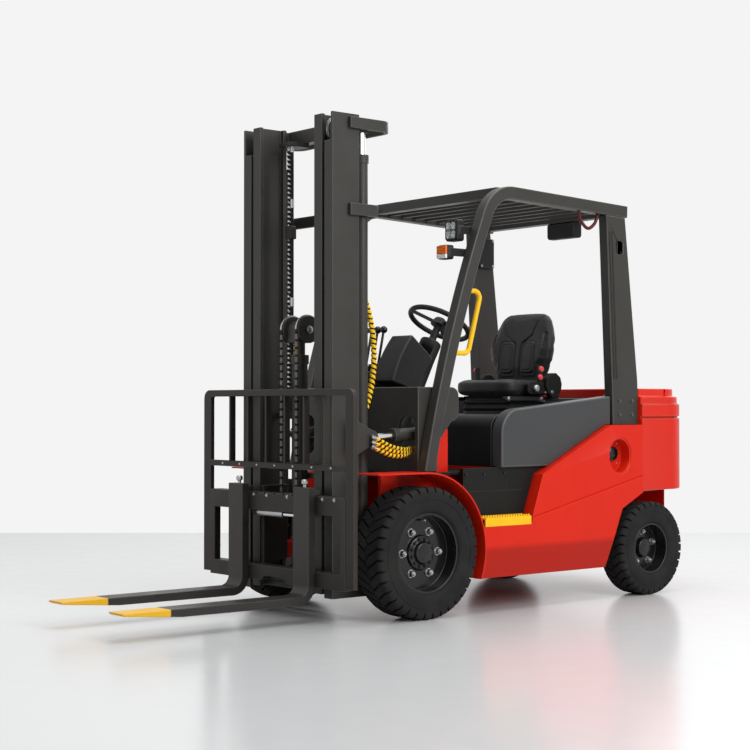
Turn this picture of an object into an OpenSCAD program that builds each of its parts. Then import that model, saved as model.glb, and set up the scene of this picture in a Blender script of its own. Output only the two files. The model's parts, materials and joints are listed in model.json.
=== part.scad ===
// Four-wheel counterbalance forklift truck with a two-stage mast, a side-shifting
// fork carriage, an overhead guard, a hinged hood with the seat on it and a red body.
// Millimetres. X points forward along the forks, Y to the driver's left, Z up.
// Everything is drawn from the front axle and then moved so that the middle of the
// outline stands over the origin, with the floor at Z = 0.

/* [Truck] */
// Distance between the front and the rear axle
wheelbase = 1632; // [1560:1:1720]
// Width over the tyres and over the load backrest
overall_width = 1246; // [1226:1:1300]
// Height of the frame's underside over the floor
frame_clearance = 172; // [140:1:190]
// Length of the counterweight behind the rear axle
rear_overhang = 438; // [410:1:480]

/* [Front wheels] */
// Diameter over the lugs of a front tyre
front_tyre_d = 642; // [620:1:656]
// Width of a front tyre
front_tyre_w = 205; // [190:1:215]
// Height of a front tyre from its rim to its tread
front_wall_h = 124; // [116:1:132]
// Number of wheel nuts on a front wheel
front_nuts = 6; // [5:1:8]
// Number of lugs round one side of a front tyre
front_lugs = 18; // [14:1:22]

/* [Rear wheels] */
// Diameter over the lugs of a rear tyre
rear_tyre_d = 508; // [480:1:516]
// Width of a rear tyre
rear_tyre_w = 160; // [146:1:170]
// Height of a rear tyre from its rim to its tread
rear_wall_h = 116; // [108:1:120]
// Number of wheel nuts on a rear wheel
rear_nuts = 5; // [4:1:6]
// Number of lugs round one side of a rear tyre
rear_lugs = 16; // [12:1:20]

/* [Mast] */
// Height of the lowered mast over the floor
mast_height = 2455; // [2400:1:2600]
// Gap between a column's outside and the front tyre beside it
tyre_gap = 48; // [44:1:54]
// Front to back depth of a column
column_depth = 167; // [160:1:172]
// Distance from the front axle to the back of the columns
mast_setback = 235; // [230:1:245]
// Thickness of a column's flanges
flange_t = 20; // [16:1:22]
// Height of the mast's foot over the floor
mast_foot = 108; // [95:1:125]
// Outside diameter of a lift cylinder
lift_barrel_d = 68; // [60:1:72]

/* [Forks and carriage] */
// Length of a fork blade in front of its shank
fork_length = 1016; // [900:1:1200]
// Width of a fork
fork_w = 122; // [100:1:130]
// Thickness of a fork at its heel
fork_t = 42; // [38:1:45]
// Distance between the fork centres
fork_spread = 546; // [480:1:700]
// Height of the fork's underside over the floor
fork_height = 86; // [80:1:100]
// Height of the load backrest over the floor
backrest_height = 1116; // [1080:1:1250]

/* [Overhead guard] */
// Height of the guard over the floor
guard_height = 2161; // [2140:1:2240]
// Distance of the guard's outside from the outside of the tyres
guard_inset = 67; // [60:1:74]
// Width of a guard leg seen from the front
leg_w = 60; // [50:1:66]
// Depth of a guard leg seen from the side
leg_d = 66; // [58:1:72]
// Number of bars across the roof
roof_bars = 8; // [5:1:10]

/* [Seat and controls] */
// Width of the seat cushion
seat_w = 470; // [430:1:500]
// Height of the backrest's top over the hood
seat_rise = 582; // [540:1:610]
// Diameter of the steering wheel
steering_d = 360; // [320:1:380]

/* [Hidden] */
$fn = 64;

// Gap between solids that touch in one body, and gap at a turning fit
seat_gap = 0.2;
run_gap = 0.4;

half_w = overall_width / 2;
front_r = front_tyre_d / 2;
rear_r = rear_tyre_d / 2;
front_rim = front_r - front_wall_h;
rear_rim = rear_r - rear_wall_h;
rear_x = -wheelbase;
front_in = half_w - front_tyre_w;
rear_in = half_w - rear_tyre_w;

// Heights that the upper body shares, all carried up by the front wheels
arch_gap = 62;
fender_t = 8;
fender_r = front_r + arch_gap;
fender_top = front_r + fender_r + fender_t;
floor_z = fender_top - 10;
floor_t = 12;
hood_z = fender_top + 8;
sill_z = fender_top + 218;
deck_z = fender_top + 276;
deck_t = 20;
cowl_z = deck_z + 140;
hinge_z = deck_z + 88;
cw_top = deck_z + 142;
step_top = fender_top - 240;
step_h = 44;

// Sideways places, from the outside of the tyres inwards
body_y = half_w - 23;
panel_y = half_w - 33;
guard_y1 = half_w - guard_inset;
guard_y0 = guard_y1 - leg_w;
cowl_y = guard_y0 - 6;
hood_y = half_w - 153;
tank_y = half_w - 191;
fender_y0 = front_in + 12;
mast_y = front_in - tyre_gap;
tilt_y = mast_y + 30;
spine_t = 25;
spine_y = mast_y - 70;
kingpin_y = rear_in - 63;

// Lengthwise places, from the axles
step_x0 = -fender_r - 10;
step_x1 = step_x0 - 326;
hood_x0 = -fender_r - 172;
hood_x1 = rear_x + 256;
seam_x = rear_x + 38;
split_x = hood_x0 - 215;
wall_t = 20;
cowl_x = -40;
cowl_back = -fender_r + 70;
console_x = cowl_back - 107;
console_w = 230;
console_h = 87;
hinge_x = seam_x + 36;
cw_x = rear_x - rear_overhang;
cw_foot = rear_r + 312;
cw_seam = deck_z - 22;
swing_w = half_w - kingpin_y;
swing_gap = 12;
arch_x = rear_x + sqrt(rear_r * rear_r + swing_w * swing_w) + swing_gap;

// Mast: outer columns, inner columns and the carriage nest from outside to inside
mast_x0 = mast_setback;
mast_x1 = mast_setback + column_depth;
mast_xc = mast_setback + column_depth / 2;
web_t = 16;
outer_flange = 65;
inner_y1 = mast_y - outer_flange - 19;
inner_y0 = inner_y1 - 62;
inner_yc = (inner_y0 + inner_y1) / 2;
roller_r = column_depth / 2 - flange_t - 0.5;
inner_foot = mast_foot + 16;
pivot_x = mast_x0 - 95;
pivot_z = mast_foot + 182;
pivot_r = 25;
lift_x = mast_x0 - 46;
lift_y = inner_y1 + 39;
lift_rod_r = 22;
lift_z0 = mast_foot + 312;
pulley_r = 60;
pulley_y = inner_y0 * 0.277;
pulley_z = mast_height * 0.576;
pulley_x = mast_xc;
pulley_w = 28;
barrel_top = pulley_z - 125;
anchor_z = mast_foot + 592;

// Tilt cylinders
eye_x = mast_x0 - 35;
eye_z = deck_z - 108;
base_x = cowl_x - 210;
base_z = deck_z - 83;
tilt_run = sqrt(pow(eye_x - base_x, 2) + pow(eye_z - base_z, 2));
tilt_dip = atan2(base_z - eye_z, eye_x - base_x);
tilt_r = 36;
tilt_rod_r = 18;
tilt_pin_r = 15;
// Play of the rod's eye round its pin
eye_play = 4;

// Carriage, shifter and forks, from the mast forwards
carriage_x0 = mast_x1 + 6;
carriage_x1 = carriage_x0 + 31;
shift_x0 = carriage_x1 + 0.6;
shift_x1 = shift_x0 + 38;
shank_x0 = shift_x1;
shank_x1 = shank_x0 + fork_t;
tip_x = shank_x1 + fork_length;
bar_low = fork_height + 80;
bar_top = bar_low + 438;
bar_h = 90;
bar_low_h = 75;
cross_y = half_w - 64;
heel_r = 50;

roof_z1 = guard_height;
roof_z0 = guard_height - 75;
rail_end = rear_x + 118;

shift_to_origin = -(tip_x + cw_x) / 2;

red = [0.80, 0.12, 0.08];
charcoal = [0.20, 0.21, 0.22];
black = [0.05, 0.05, 0.05];
grey = [0.33, 0.34, 0.36];
steel = [0.72, 0.73, 0.74];
yellow = [0.92, 0.66, 0.06];
rubber = [0.07, 0.07, 0.07];

// Places a piece drawn from the front axle in the shared frame
module at_origin() translate([shift_to_origin, 0, 0]) children();

// Draws a piece and its mirror image on the other side of the truck
module both() {
  children();
  mirror([0, 1, 0]) children();
}

// A block between two opposite corners
module block(a, b) translate(a) cube(b - a);

// Pulls a side view, drawn as X and Z, out between two sideways positions
module side_view(y0, y1) {
  translate([0, y1, 0])
    rotate([90, 0, 0])
      linear_extrude(y1 - y0)
        children();
}
module plate(y0, y1, pts) side_view(y0, y1) polygon(pts);

// Pulls a front view, drawn as Y and Z, out between two lengthwise positions
module front_view(x0, x1) {
  translate([x0, 0, 0])
    rotate([90, 0, 90])
      linear_extrude(x1 - x0)
        children();
}

// A round bar along Y, and one along Z
module rod_y(x, z, r, y0, y1) {
  translate([x, y1, z])
    rotate([90, 0, 0])
      cylinder(r = r, h = y1 - y0);
}
module rod_z(x, y, r, z0, z1) translate([x, y, z0]) cylinder(r = r, h = z1 - z0);

// A ring-shaped piece turned about Y from a profile of radius and sideways position
module turned_y(x, z, pts) {
  translate([x, 0, z])
    rotate([-90, 0, 0])
      rotate_extrude()
        polygon(pts);
}

// A rectangle with round corners, between two opposite corners
module soft_rect(a, b, r) {
  translate(a + [r, 0]) square(b - a - [2 * r, 0]);
  translate(a + [0, r]) square(b - a - [0, 2 * r]);
  for (x = [a[0] + r, b[0] - r], y = [a[1] + r, b[1] - r])
    translate([x, y]) circle(r = r);
}

// Flat bar bent in its own plane: each length starts a little inside the last one
lap = 0.4;
function lap_angle(r) = lap / r * 180 / PI;
module bar_line(l, w) {
  translate([-lap, -w / 2]) square([l + lap, w]);
  translate([l, 0]) children();
}
module bar_arc(r, a, w) {
  far = 2 * (r + w);
  translate([0, r])
    intersection() {
      difference() {
        circle(r = r + w / 2);
        circle(r = r - w / 2);
      }
      polygon([[0, 0], far * [-sin(lap_angle(r)), -cos(lap_angle(r))], far * [sin(a), -cos(a)]]);
    }
  translate([r * sin(a), r - r * cos(a)]) rotate(a) children();
}

// Round tube bent in its own plane: each straight reaches into the bends beside it
bite = 3;
module tube_line(l, d, from = -bite, to = bite) {
  translate([from, 0, 0]) rotate([0, 90, 0]) cylinder(d = d - 0.8, h = l + to - from);
  translate([l, 0, 0]) children();
}
module tube_arc(r, a, d) {
  translate([0, r, 0])
    rotate([0, 0, -90])
      rotate_extrude(angle = a)
        translate([r, 0])
          circle(d = d);
  translate([r * sin(a), r - r * cos(a), 0]) rotate([0, 0, a]) children();
}

// Stands a flat turtle drawing up in the XZ plane
module upright(x, y, z, heading) translate([x, y, z]) rotate([90, 0, 0]) rotate([0, 0, heading]) children();

// Space that a steered rear wheel sweeps as it turns about its kingpin
module wheel_sweep() {
  profile = [for (a = [-90:15:90])
    [norm([rear_r * cos(a), swing_w]) + swing_gap, rear_r + (rear_r + swing_gap) * sin(a)]];
  translate([rear_x, kingpin_y, 0])
    rotate_extrude()
      polygon(concat([[0, -swing_gap]], profile, [[0, 2 * rear_r + swing_gap]]));
}

// Space of a front wheel and its fender
module fender_sweep(y0, y1) rod_y(0, front_r, fender_r + fender_t + seat_gap, y0, y1);

// Side outlines of the body, left side, as X and Z pairs
crease_0 = [step_x1 - 10, step_top - 13];
crease_1 = [seam_x, sill_z - 277];
panel_front = [step_x1 - 94, hood_z - 39];
panel_rear = [hood_x1 + 42, sill_z];
function on_edge(z) = panel_front[0]
  + (z - panel_front[1]) * (panel_rear[0] - panel_front[0]) / (panel_rear[1] - panel_front[1]);

// Welded side tanks with a crease along the side and room for the steered wheel
module side_tanks() color(red) at_origin() both() difference() {
  plate(tank_y, body_y, [
    [step_x0 + 40, frame_clearance], [arch_x + 6, frame_clearance],
    [arch_x - 60, frame_clearance + 136], [arch_x - 134, frame_clearance + 306],
    [seam_x + 11, rear_r + 305], crease_1, crease_0,
    [step_x1, step_top - step_h], [step_x0 + 40, step_top - step_h]]);
  fender_sweep(tank_y - 5, body_y + 5);
  wheel_sweep();
}

// Battery tub between the tanks
tub_y = tank_y - seat_gap;
module frame() color(red) at_origin() {
  block([arch_x + 8, -tub_y, frame_clearance], [hood_x0, tub_y, frame_clearance + wall_t]);
  block([hood_x0 - wall_t, -tub_y, frame_clearance], [hood_x0, tub_y, hood_z - seat_gap]);
  block([hood_x0 - wall_t, -hood_y, step_top - step_h + seat_gap], [hood_x0, hood_y, hood_z - seat_gap]);
  block([arch_x + 8, -tub_y, frame_clearance], [arch_x + 8 + wall_t, tub_y, cw_foot + 230]);
}

// Front plates that carry the axle, the mast's pivots and the tilt cylinders
module front_plates() color(red) at_origin() {
  x0 = hood_x0 + seat_gap;
  top = floor_z - floor_t;
  both() difference() {
    union() {
      plate(spine_y, spine_y + spine_t, [[x0, frame_clearance + 78], [-120, frame_clearance + 78],
        [60, front_r + 79], [60, top], [x0, top]]);
      plate(spine_y, spine_y + spine_t, [[40, front_r + 79], [pivot_x - 30, pivot_z - 45],
        [pivot_x, pivot_z - 45], [pivot_x, pivot_z + 45], [40, front_r + 199]]);
      rod_y(pivot_x, pivot_z, 45, spine_y, spine_y + spine_t + 4);
      rod_y(pivot_x, pivot_z, pivot_r, spine_y, mast_y + 2);
      for (y = [tilt_y - 32, tilt_y + 18]) {
        block([base_x - 40, y, top - 6], [base_x + 40, y + 14, base_z]);
        rod_y(base_x, base_z, 40, y, y + 14);
      }
      rod_y(base_x, base_z, tilt_pin_r, tilt_y - 36, tilt_y + 36);
      block([base_x - 50, spine_y + 10, top - 18], [base_x + 50, tilt_y + 34, top]);
    }
    rod_y(0, front_r, 85 + seat_gap, 0, spine_y + 60);
    fender_sweep(spine_y + spine_t + 2, body_y);
  }
}

// Rear spine over the steered axle, under the counterweight
module rear_spine() color(red) at_origin() {
  x1 = arch_x + 8 - seat_gap;
  both() block([rear_x - 120, 140, rear_r + 120], [x1, 165, cw_foot - seat_gap]);
  block([rear_x - 60, -150, rear_r + 120], [rear_x + 60, 150, rear_r + 160]);
  block([seam_x + 6, -tub_y, cw_foot - 30], [x1, tub_y, cw_foot - seat_gap]);
}

// Traction battery as one plain block in the tub
module battery() color(charcoal) at_origin()
  block([arch_x + 60, -tank_y + 42, frame_clearance + wall_t + seat_gap],
    [hood_x0 - 2 * wall_t, tank_y - 42, deck_z - 108]);

// Plan of the counterweight, drawn in by a margin
module cw_plan(m) {
  r = 190;
  x0 = seam_x - seat_gap;
  y1 = panel_y - 36 - m;
  x1 = cw_x + m;
  difference() {
    polygon([[x0, panel_y - 2 - m], [x0 - 260, y1], [x1, y1],
      [x1, -y1], [x0 - 260, -y1], [x0, -panel_y + 2 + m]]);
    for (s = [-1, 1])
      difference() {
        translate([x1 - 5, s > 0 ? y1 - r : -y1 - 5]) square([r + 5, r + 5]);
        translate([x1 + r, s * (y1 - r)]) circle(r = r);
      }
  }
}

// Counterweight casting: body, groove, cap with a sloped edge, and the hood's hinges
hinge_y = hood_y - 78;
hinge_w = 20;
hinge_r = 14;
module hinge_arms(g) {
  both() block([seam_x - 82, hinge_y - g, hinge_z - hinge_r], [hinge_x, hinge_y + hinge_w + g, hinge_z]);
  both() rod_y(hinge_x, hinge_z, hinge_r, hinge_y - g, hinge_y + hinge_w + g);
  both() rod_y(hinge_x, hinge_z, 10, hinge_y - 62, hinge_y + 8);
}
module counterweight() color(red) at_origin() {
  difference() {
    union() {
      translate([0, 0, cw_foot]) linear_extrude(cw_seam - cw_foot) cw_plan(0);
      translate([0, 0, cw_seam - 4]) linear_extrude(18) cw_plan(10);
      translate([0, 0, cw_seam + 8]) linear_extrude(70) cw_plan(0);
      translate([0, 0, cw_seam + 76]) linear_extrude(44) cw_plan(10);
      translate([0, 0, cw_seam + 118]) linear_extrude(cw_top - cw_seam - 118) cw_plan(28);
      intersection() {
        translate([0, 0, cw_foot - 112]) linear_extrude(116) cw_plan(60);
        block([cw_x, -panel_y, cw_foot - 130], [cw_x + 118, panel_y, cw_foot + 10]);
      }
    }
    block([cw_x - 5, -170, cw_foot - 140], [cw_x + 130, 170, cw_foot]);
    block([seam_x - 70, -hood_y + 40, deck_z - 48], [seam_x + 60, hood_y - 40, cw_top + 10]);
  }
  hinge_arms(0);
}

// Foot of the counterweight with the tow pin's bore and slot
module counterweight_foot() color(red) at_origin() difference() {
  block([cw_x + 30, -165, cw_foot - 306], [rear_x - 130, 165, cw_foot - seat_gap]);
  translate([cw_x + 110, 0, cw_foot - 320]) cylinder(r = 20, h = 300);
  block([cw_x - 10, -110, cw_foot - 166], [cw_x + 170, 110, cw_foot - 86]);
}

// Red side panels over the tub, each with an oval opening
oval_x = hood_x1 - 35;
oval_z = sill_z - 167;
module oval(w, h) soft_rect([oval_x - w / 2, oval_z - h / 2], [oval_x + w / 2, oval_z + h / 2], w / 2 - 0.5);
module side_panels() color(red) at_origin() both() difference() {
  plate(hood_y + 10, panel_y, [crease_0 + [-4, seat_gap + 0.9], crease_1 + [0, seat_gap],
    [seam_x, sill_z], panel_rear, panel_front]);
  side_view(panel_y - 6, panel_y + 5) oval(178, 198);
  side_view(panel_y - 70, panel_y + 5) oval(160, 180);
}

// Grey covers over the steps, with panel grooves
module lower_covers() color(grey) at_origin() both() difference() {
  y1 = tank_y + 90;
  z0 = step_top - step_h + seat_gap;
  plate(tank_y + 60, y1, [[cowl_back, z0], [step_x1 + 2, z0], crease_0 + [2, 2], panel_front + [3, 0],
    [on_edge(hood_z - 1) + 4, hood_z - seat_gap], [cowl_back, hood_z - seat_gap]]);
  fender_sweep(tank_y, body_y);
  block([step_x1, y1 - 4, step_top + 130], [-200, y1 + 5, step_top + 134]);
  block([step_x1 + 108, y1 - 4, z0], [step_x1 + 112, y1 + 5, hood_z]);
}

// Step plates with a folded edge
module step_plates() color(yellow) at_origin() both() difference() {
  z0 = step_top - step_h + seat_gap;
  block([step_x1 + 2, tank_y + 90 + seat_gap, z0], [step_x0, body_y, step_top]);
  block([step_x1 - 10, tank_y + 80, z0 - 10], [step_x0 + 10, body_y - 10, step_top - 10]);
  fender_sweep(tank_y, body_y + 5);
}

// Front fenders: a flat top that runs on into an arc behind the wheel
module front_fenders() color(red) at_origin() both() {
  difference() {
    rod_y(0, front_r, fender_r + fender_t, fender_y0, body_y + 8);
    rod_y(0, front_r, fender_r, fender_y0 - 5, body_y + 20);
    block([0, fender_y0 - 5, -fender_r], [2 * fender_r, body_y + 20, 3 * fender_r]);
    block([-2 * fender_r, fender_y0 - 5, -fender_r], [1, body_y + 20, frame_clearance]);
  }
  block([-1, fender_y0, fender_top - fender_t], [front_r - 10, body_y + 8, fender_top]);
}

// Driver's floor over the front plates
module floor_plate() color(black) at_origin() difference() {
  block([hood_x0 + 2, -cowl_y, floor_z - floor_t + seat_gap], [cowl_x + 20, cowl_y, floor_z]);
  both() block([base_x - 42, tilt_y - 34, floor_z - 40], [base_x + 42, tilt_y + 34, floor_z + 40]);
  both() fender_sweep(spine_y, body_y);
}

// Front cowl: sheet, cheeks with a round corner, top, lever console and an opening
// for each tilt cylinder
module cowl() color(black) at_origin() {
  difference() {
    union() {
      block([cowl_x - wall_t, -cowl_y, floor_z + seat_gap], [cowl_x, cowl_y, cowl_z]);
      both() side_view(cowl_y - wall_t, cowl_y) {
        soft_rect([cowl_back, deck_z - 30], [cowl_x, cowl_z], 45);
        translate([cowl_x - 130, fender_top + seat_gap]) square([130, cowl_z - fender_top - 40]);
        polygon([[cowl_x - 120, deck_z + 20], [cowl_back + 45, deck_z - 30], [cowl_x - 185, deck_z - 76],
          [cowl_x - 120, fender_top + 120]]);
      }
      block([cowl_x - 150, -cowl_y, cowl_z - wall_t], [cowl_x, cowl_y, cowl_z]);
      side_view(-130 - console_w, -130)
        soft_rect([console_x, cowl_z - 110], [cowl_x - 140, cowl_z + console_h], 24);
    }
    both() translate([cowl_x - 60, 0, 0]) front_view(0, 100)
      soft_rect([tilt_y - 62, eye_z - 100], [tilt_y + 62, eye_z + 106], 61.5);
    both() fender_sweep(spine_y + 30, body_y);
  }
}

// Steering column with its shroud, from the floor to the steering wheel
column_lean = 30;
column_foot = cowl_x - 135;
column_run = 880;
shroud_w = 164;
module on_column() translate([column_foot, 0, floor_z]) rotate([0, -column_lean, 0]) children();
module steering_column() color(black) at_origin() {
  difference() {
    on_column() {
      translate([0, 0, -80]) cylinder(r = 70, h = 480);
      translate([0, 0, 380]) cylinder(r1 = 70, r2 = 58, h = 300);
      translate([0, 0, 660]) cylinder(r = 58, h = 120);
      translate([0, 0, 770]) cylinder(r = 20, h = column_run - 770 - run_gap);
    }
    block([-900, -300, 0], [200, 300, floor_z + seat_gap]);
  }
  side_view(-shroud_w / 2, shroud_w / 2)
    translate([column_foot - 140, cowl_z + 10])
      rotate(106)
        bar_arc(520, 24, 190)
          bar_line(24, 190);
}
module steering_wheel() color(black) at_origin() on_column() translate([0, 0, column_run]) {
  rim_r = 14;
  cylinder(r1 = 46, r2 = 34, h = 34);
  translate([0, 0, 16]) rotate_extrude() translate([steering_d / 2 - rim_r, 0]) circle(r = rim_r);
  for (a = [90, 210, 330])
    rotate([0, 0, a]) block([30, -16, 8], [steering_d / 2 - rim_r - 2, 16, 18]);
}

// Hydraulic levers on the console
lever_l = 226;
knob_r = 20;
module levers() color(black) at_origin() for (i = [0:3]) {
  translate([console_x + 100, -160 - console_w / 4.6 * i, cowl_z + console_h + seat_gap]) {
    cylinder(r1 = 22, r2 = 13, h = 30);
    translate([0, 0, 6]) rotate([0, -12, 0]) {
      cylinder(r = 7, h = lever_l);
      translate([0, 0, lever_l]) sphere(r = knob_r);
    }
  }
}

// Brake and drive pedals on the floor
module pedals() color(black) at_origin() for (y = [-270, -135]) {
  translate([cowl_x - 260, y, floor_z + seat_gap]) {
    block([0, -40, 0], [34, 40, 20]);
    difference() {
      rotate([0, 35, 0]) block([-10, -38, 0], [8, 38, 150]);
      block([-50, -60, -60], [90, 60, 0]);
    }
  }
}

// Front legs of the guard: a long bow, a tight bend and the roof rail in one bar
leg_x = cowl_x - 19;
leg_z = fender_top - 14;
leg_bow = 7200;
leg_bend = 190;
leg_heading = 101.5;
rail_heading = 182.1;
leg_rise = roof_z1 - leg_d / 2 - leg_z;
leg_turn = acos((leg_bow * cos(leg_heading) - leg_bend * cos(rail_heading) - leg_rise)
  / (leg_bow - leg_bend));
bend_x = leg_x + leg_bow * (sin(leg_turn) - sin(leg_heading));
rail_x = bend_x + leg_bend * (sin(rail_heading) - sin(leg_turn));
rail_fall = tan(rail_heading - 180);
function leg_at(z) = leg_x
  + leg_bow * (sin(acos(cos(leg_heading) - (z - leg_z) / leg_bow)) - sin(leg_heading));
function rail_z(x) = roof_z1 - leg_d / 2 - (rail_x - x) * rail_fall;
module leg(y0, y1) side_view(y0, y1) difference() {
  translate([leg_x, leg_z])
    rotate(leg_heading)
      bar_arc(leg_bow, leg_turn - leg_heading, leg_d)
        bar_arc(leg_bend, rail_heading - leg_turn, leg_d)
          bar_line((rail_x - rail_end) / cos(rail_heading - 180), leg_d);
  translate([leg_x - 300, leg_z - 100]) square([600, fender_top + seat_gap - leg_z + 100]);
}
module guard_front() color(charcoal) at_origin() both() leg(guard_y0, guard_y1);

// Roof of the guard: cross beams, bars and a gusset plate in each front corner
gusset = 90;
module guard_roof() color(charcoal) at_origin() {
  y = guard_y0 - seat_gap;
  x0 = rail_x + 70;
  x1 = rail_end + 52;
  beam = 60;
  block([x0 - beam, -y, rail_z(x0) - 24], [x0, y, rail_z(x0) + 28]);
  block([x1, -y, rail_z(x1) - 32], [x1 + beam, y, rail_z(x1) + 20]);
  step = (x0 - x1 - beam) / (roof_bars + 1);
  for (i = [1:roof_bars])
    translate([x0 - beam / 2 - step * i, 0, rail_z(x0 - step * i)])
      block([-8, -y, -22], [8, y, 22]);
  both() translate([0, 0, rail_z(x0) + 4])
    linear_extrude(8)
      polygon([[x0 - beam + lap, y], [x0 - beam - gusset, y], [x0 - beam + lap, y - gusset]]);
}

// Rear legs of the guard, standing on the side panels behind the hood, with slots
knee_z = deck_z + 159;
module guard_rear() color(charcoal) at_origin() both() difference() {
  x0 = hood_x1 - 12;
  x1 = seam_x + 4;
  top0 = rail_end + 174;
  top1 = rail_end + 26;
  drop = leg_d / 2 + seat_gap + 0.1;
  plate(guard_y0 + 2, guard_y1 + 2, [[x0, sill_z + seat_gap], [x1, sill_z + seat_gap], [x1, knee_z],
    [top1, rail_z(top1) - drop], [top0, rail_z(top0) - drop], [x0 + 6, knee_z]]);
  for (i = [0:3])
    translate([(top0 + top1) / 2 - 54 + 16 * i, guard_y0, guard_height - 265])
      side_view(-5, leg_w + 20) soft_rect([-4, -32], [4, 32], 3.9);
}

// Yellow grab handle behind the left front leg, one bent tube from leg to leg
function leg_back(z) = leg_x - leg_bow * sin(leg_heading)
  + sqrt(pow(leg_bow - leg_d / 2, 2) - pow(z - leg_z - leg_bow * cos(leg_heading), 2));
handle_d = 26;
handle_z = guard_height - 548;
handle_run = 254;
handle_bend = 35;
handle_slope = 286;
handle_out = 36;
handle_x = leg_back(handle_z + handle_d / 2) - seat_gap;
handle_low_x = handle_x - handle_out + handle_run * cos(handle_slope);
handle_low_z = handle_z - 2 * handle_bend + handle_run * sin(handle_slope);
module grab_handle() color(yellow) at_origin()
  upright(handle_x, (guard_y0 + guard_y1) / 2, handle_z, 180)
    tube_line(handle_out, handle_d, from = 0)
      tube_arc(handle_bend, handle_slope - 180, handle_d)
        tube_line(handle_run, handle_d)
          tube_arc(handle_bend, 360 - handle_slope, handle_d)
            tube_line(leg_back(handle_low_z + handle_d / 2) - seat_gap - handle_low_x, handle_d, to = 0);

// Work lamps and turn lamps on brackets at the front legs, one lamp under the roof and
// a relay box on the right rear leg
lamp_y = guard_y0 - 96;
work_z = guard_height - 240;
turn_z = guard_height - 355;
work_x = leg_at(work_z) + 118;
turn_x = leg_at(turn_z) + 142;
rear_lamp_x = rail_end + 52;
module bracket(x, z) block([leg_at(z) - 20, guard_y0 - 12, z - 20], [x - 10, guard_y0 - seat_gap, z + 20]);
module lamps() color(black) at_origin() {
  both() {
    front_view(work_x - 45, work_x) soft_rect([lamp_y, work_z - 55], [guard_y0 - 6, work_z + 55], 14);
    front_view(work_x - 60, work_x - 40)
      soft_rect([lamp_y + 18, work_z - 38], [guard_y0 - 24, work_z + 38], 10);
    bracket(work_x, work_z);
    front_view(turn_x - 42, turn_x) soft_rect([lamp_y + 16, turn_z - 36], [guard_y0 - 6, turn_z + 36], 10);
    bracket(turn_x, turn_z);
  }
  top = rail_z(rear_lamp_x) - 32 - seat_gap;
  side_view(50, 250) soft_rect([rear_lamp_x - 12, top - 90], [rear_lamp_x + 58, top], 18);
  side_view(-guard_y0 - 2 + seat_gap, -guard_y0 + 22)
    soft_rect([rail_end + 20, guard_height - 310], [rail_end + 134, guard_height - 135], 8);
}
module lamp_lenses() color(steel) at_origin() both() {
  front_view(work_x + seat_gap, work_x + 9)
    soft_rect([lamp_y + 6, work_z - 49], [guard_y0 - 12, work_z + 49], 10);
  front_view(turn_x + seat_gap, turn_x + 12)
    soft_rect([lamp_y + 20, turn_z - 32], [guard_y0 - 10, turn_z + 32], 8);
}

// Drive axle with its hub flanges
axle_r = 110;
hub_r = 76;
module drive_axle() color(charcoal) at_origin() {
  rod_y(0, front_r, axle_r, -spine_y + seat_gap, spine_y - seat_gap);
  both() rod_y(0, front_r, 85, spine_y - 1, front_in + 10);
  both() rod_y(0, front_r, hub_r - 6, front_in + 5, half_w - 150 - run_gap);
}

// Steered rear axle: beam with forked ends and the steering cylinder
boss_r = 45;
module steer_axle() color(charcoal) at_origin() {
  y1 = kingpin_y - boss_r - 9;
  block([rear_x - 45, -y1, rear_r - 60], [rear_x + 45, y1, rear_r + 60]);
  block([rear_x - 60, -130, rear_r + 50], [rear_x + 60, 130, rear_r + 120 - seat_gap]);
  both() difference() {
    union() for (z = [rear_r + 60, rear_r - 90]) {
      block([rear_x - 45, y1 - 30, z - 1], [rear_x + 45, kingpin_y, z + 31]);
      rod_z(rear_x, kingpin_y, boss_r, z, z + 30);
    }
    rod_z(rear_x, kingpin_y, 24 + run_gap, 0, 2 * rear_r);
    rod_z(rear_x, kingpin_y, 52, rear_r - 60, rear_r + 60);
  }
  rod_y(rear_x + 78, rear_r, 35, -kingpin_y / 2, kingpin_y / 2);
}
module knuckle() {
  rod_z(rear_x, kingpin_y, 24, rear_r - 95, rear_r + 95);
  rod_z(rear_x, kingpin_y, 46, rear_r - 59, rear_r + 59);
  rod_y(rear_x, rear_r, 40, kingpin_y, rear_in + 30);
  rod_y(rear_x, rear_r, 60, rear_in + 20, rear_in + 45 - run_gap);
}
module knuckle_left() color(charcoal) at_origin() knuckle();
module knuckle_right() color(charcoal) at_origin() mirror([0, 1, 0]) knuckle();

// Side covers beside the hood, with a wide round corner at the front
flank_r = 130;
flank_top = deck_z + 32;
module hood_flanks() color(grey) at_origin() both() side_view(hood_y + 6, panel_y - 40) {
  polygon([[hood_x0, hood_z], [on_edge(hood_z) + 3, hood_z], [panel_rear[0] + 3, sill_z + seat_gap],
    [hood_x1, sill_z + seat_gap], [hood_x1, deck_z + 99], [hood_x0 - flank_r, flank_top],
    [hood_x0 - flank_r, flank_top - flank_r], [hood_x0, flank_top - flank_r]]);
  translate([hood_x0 - flank_r, flank_top - flank_r]) circle(r = flank_r);
}

// Fixed deck in front of the hood, its front edge bent over
module front_deck() color(black) at_origin() side_view(-hood_y, hood_y) difference() {
  r = 70;
  union() {
    translate([split_x, hood_z]) square([hood_x0 - split_x, deck_z - hood_z - r]);
    translate([split_x, hood_z]) square([hood_x0 - split_x - r, deck_z - hood_z]);
    translate([hood_x0 - r, deck_z - r]) circle(r = r);
  }
  translate([split_x - 1, hood_z - 1]) square([hood_x0 - split_x - deck_t + 1, deck_z - hood_z - r + 1]);
  translate([split_x - 1, hood_z - 1]) square([hood_x0 - split_x - r + 1, deck_z - hood_z - deck_t + 1]);
  translate([hood_x0 - r, deck_z - r]) circle(r = r - deck_t);
}

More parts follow.
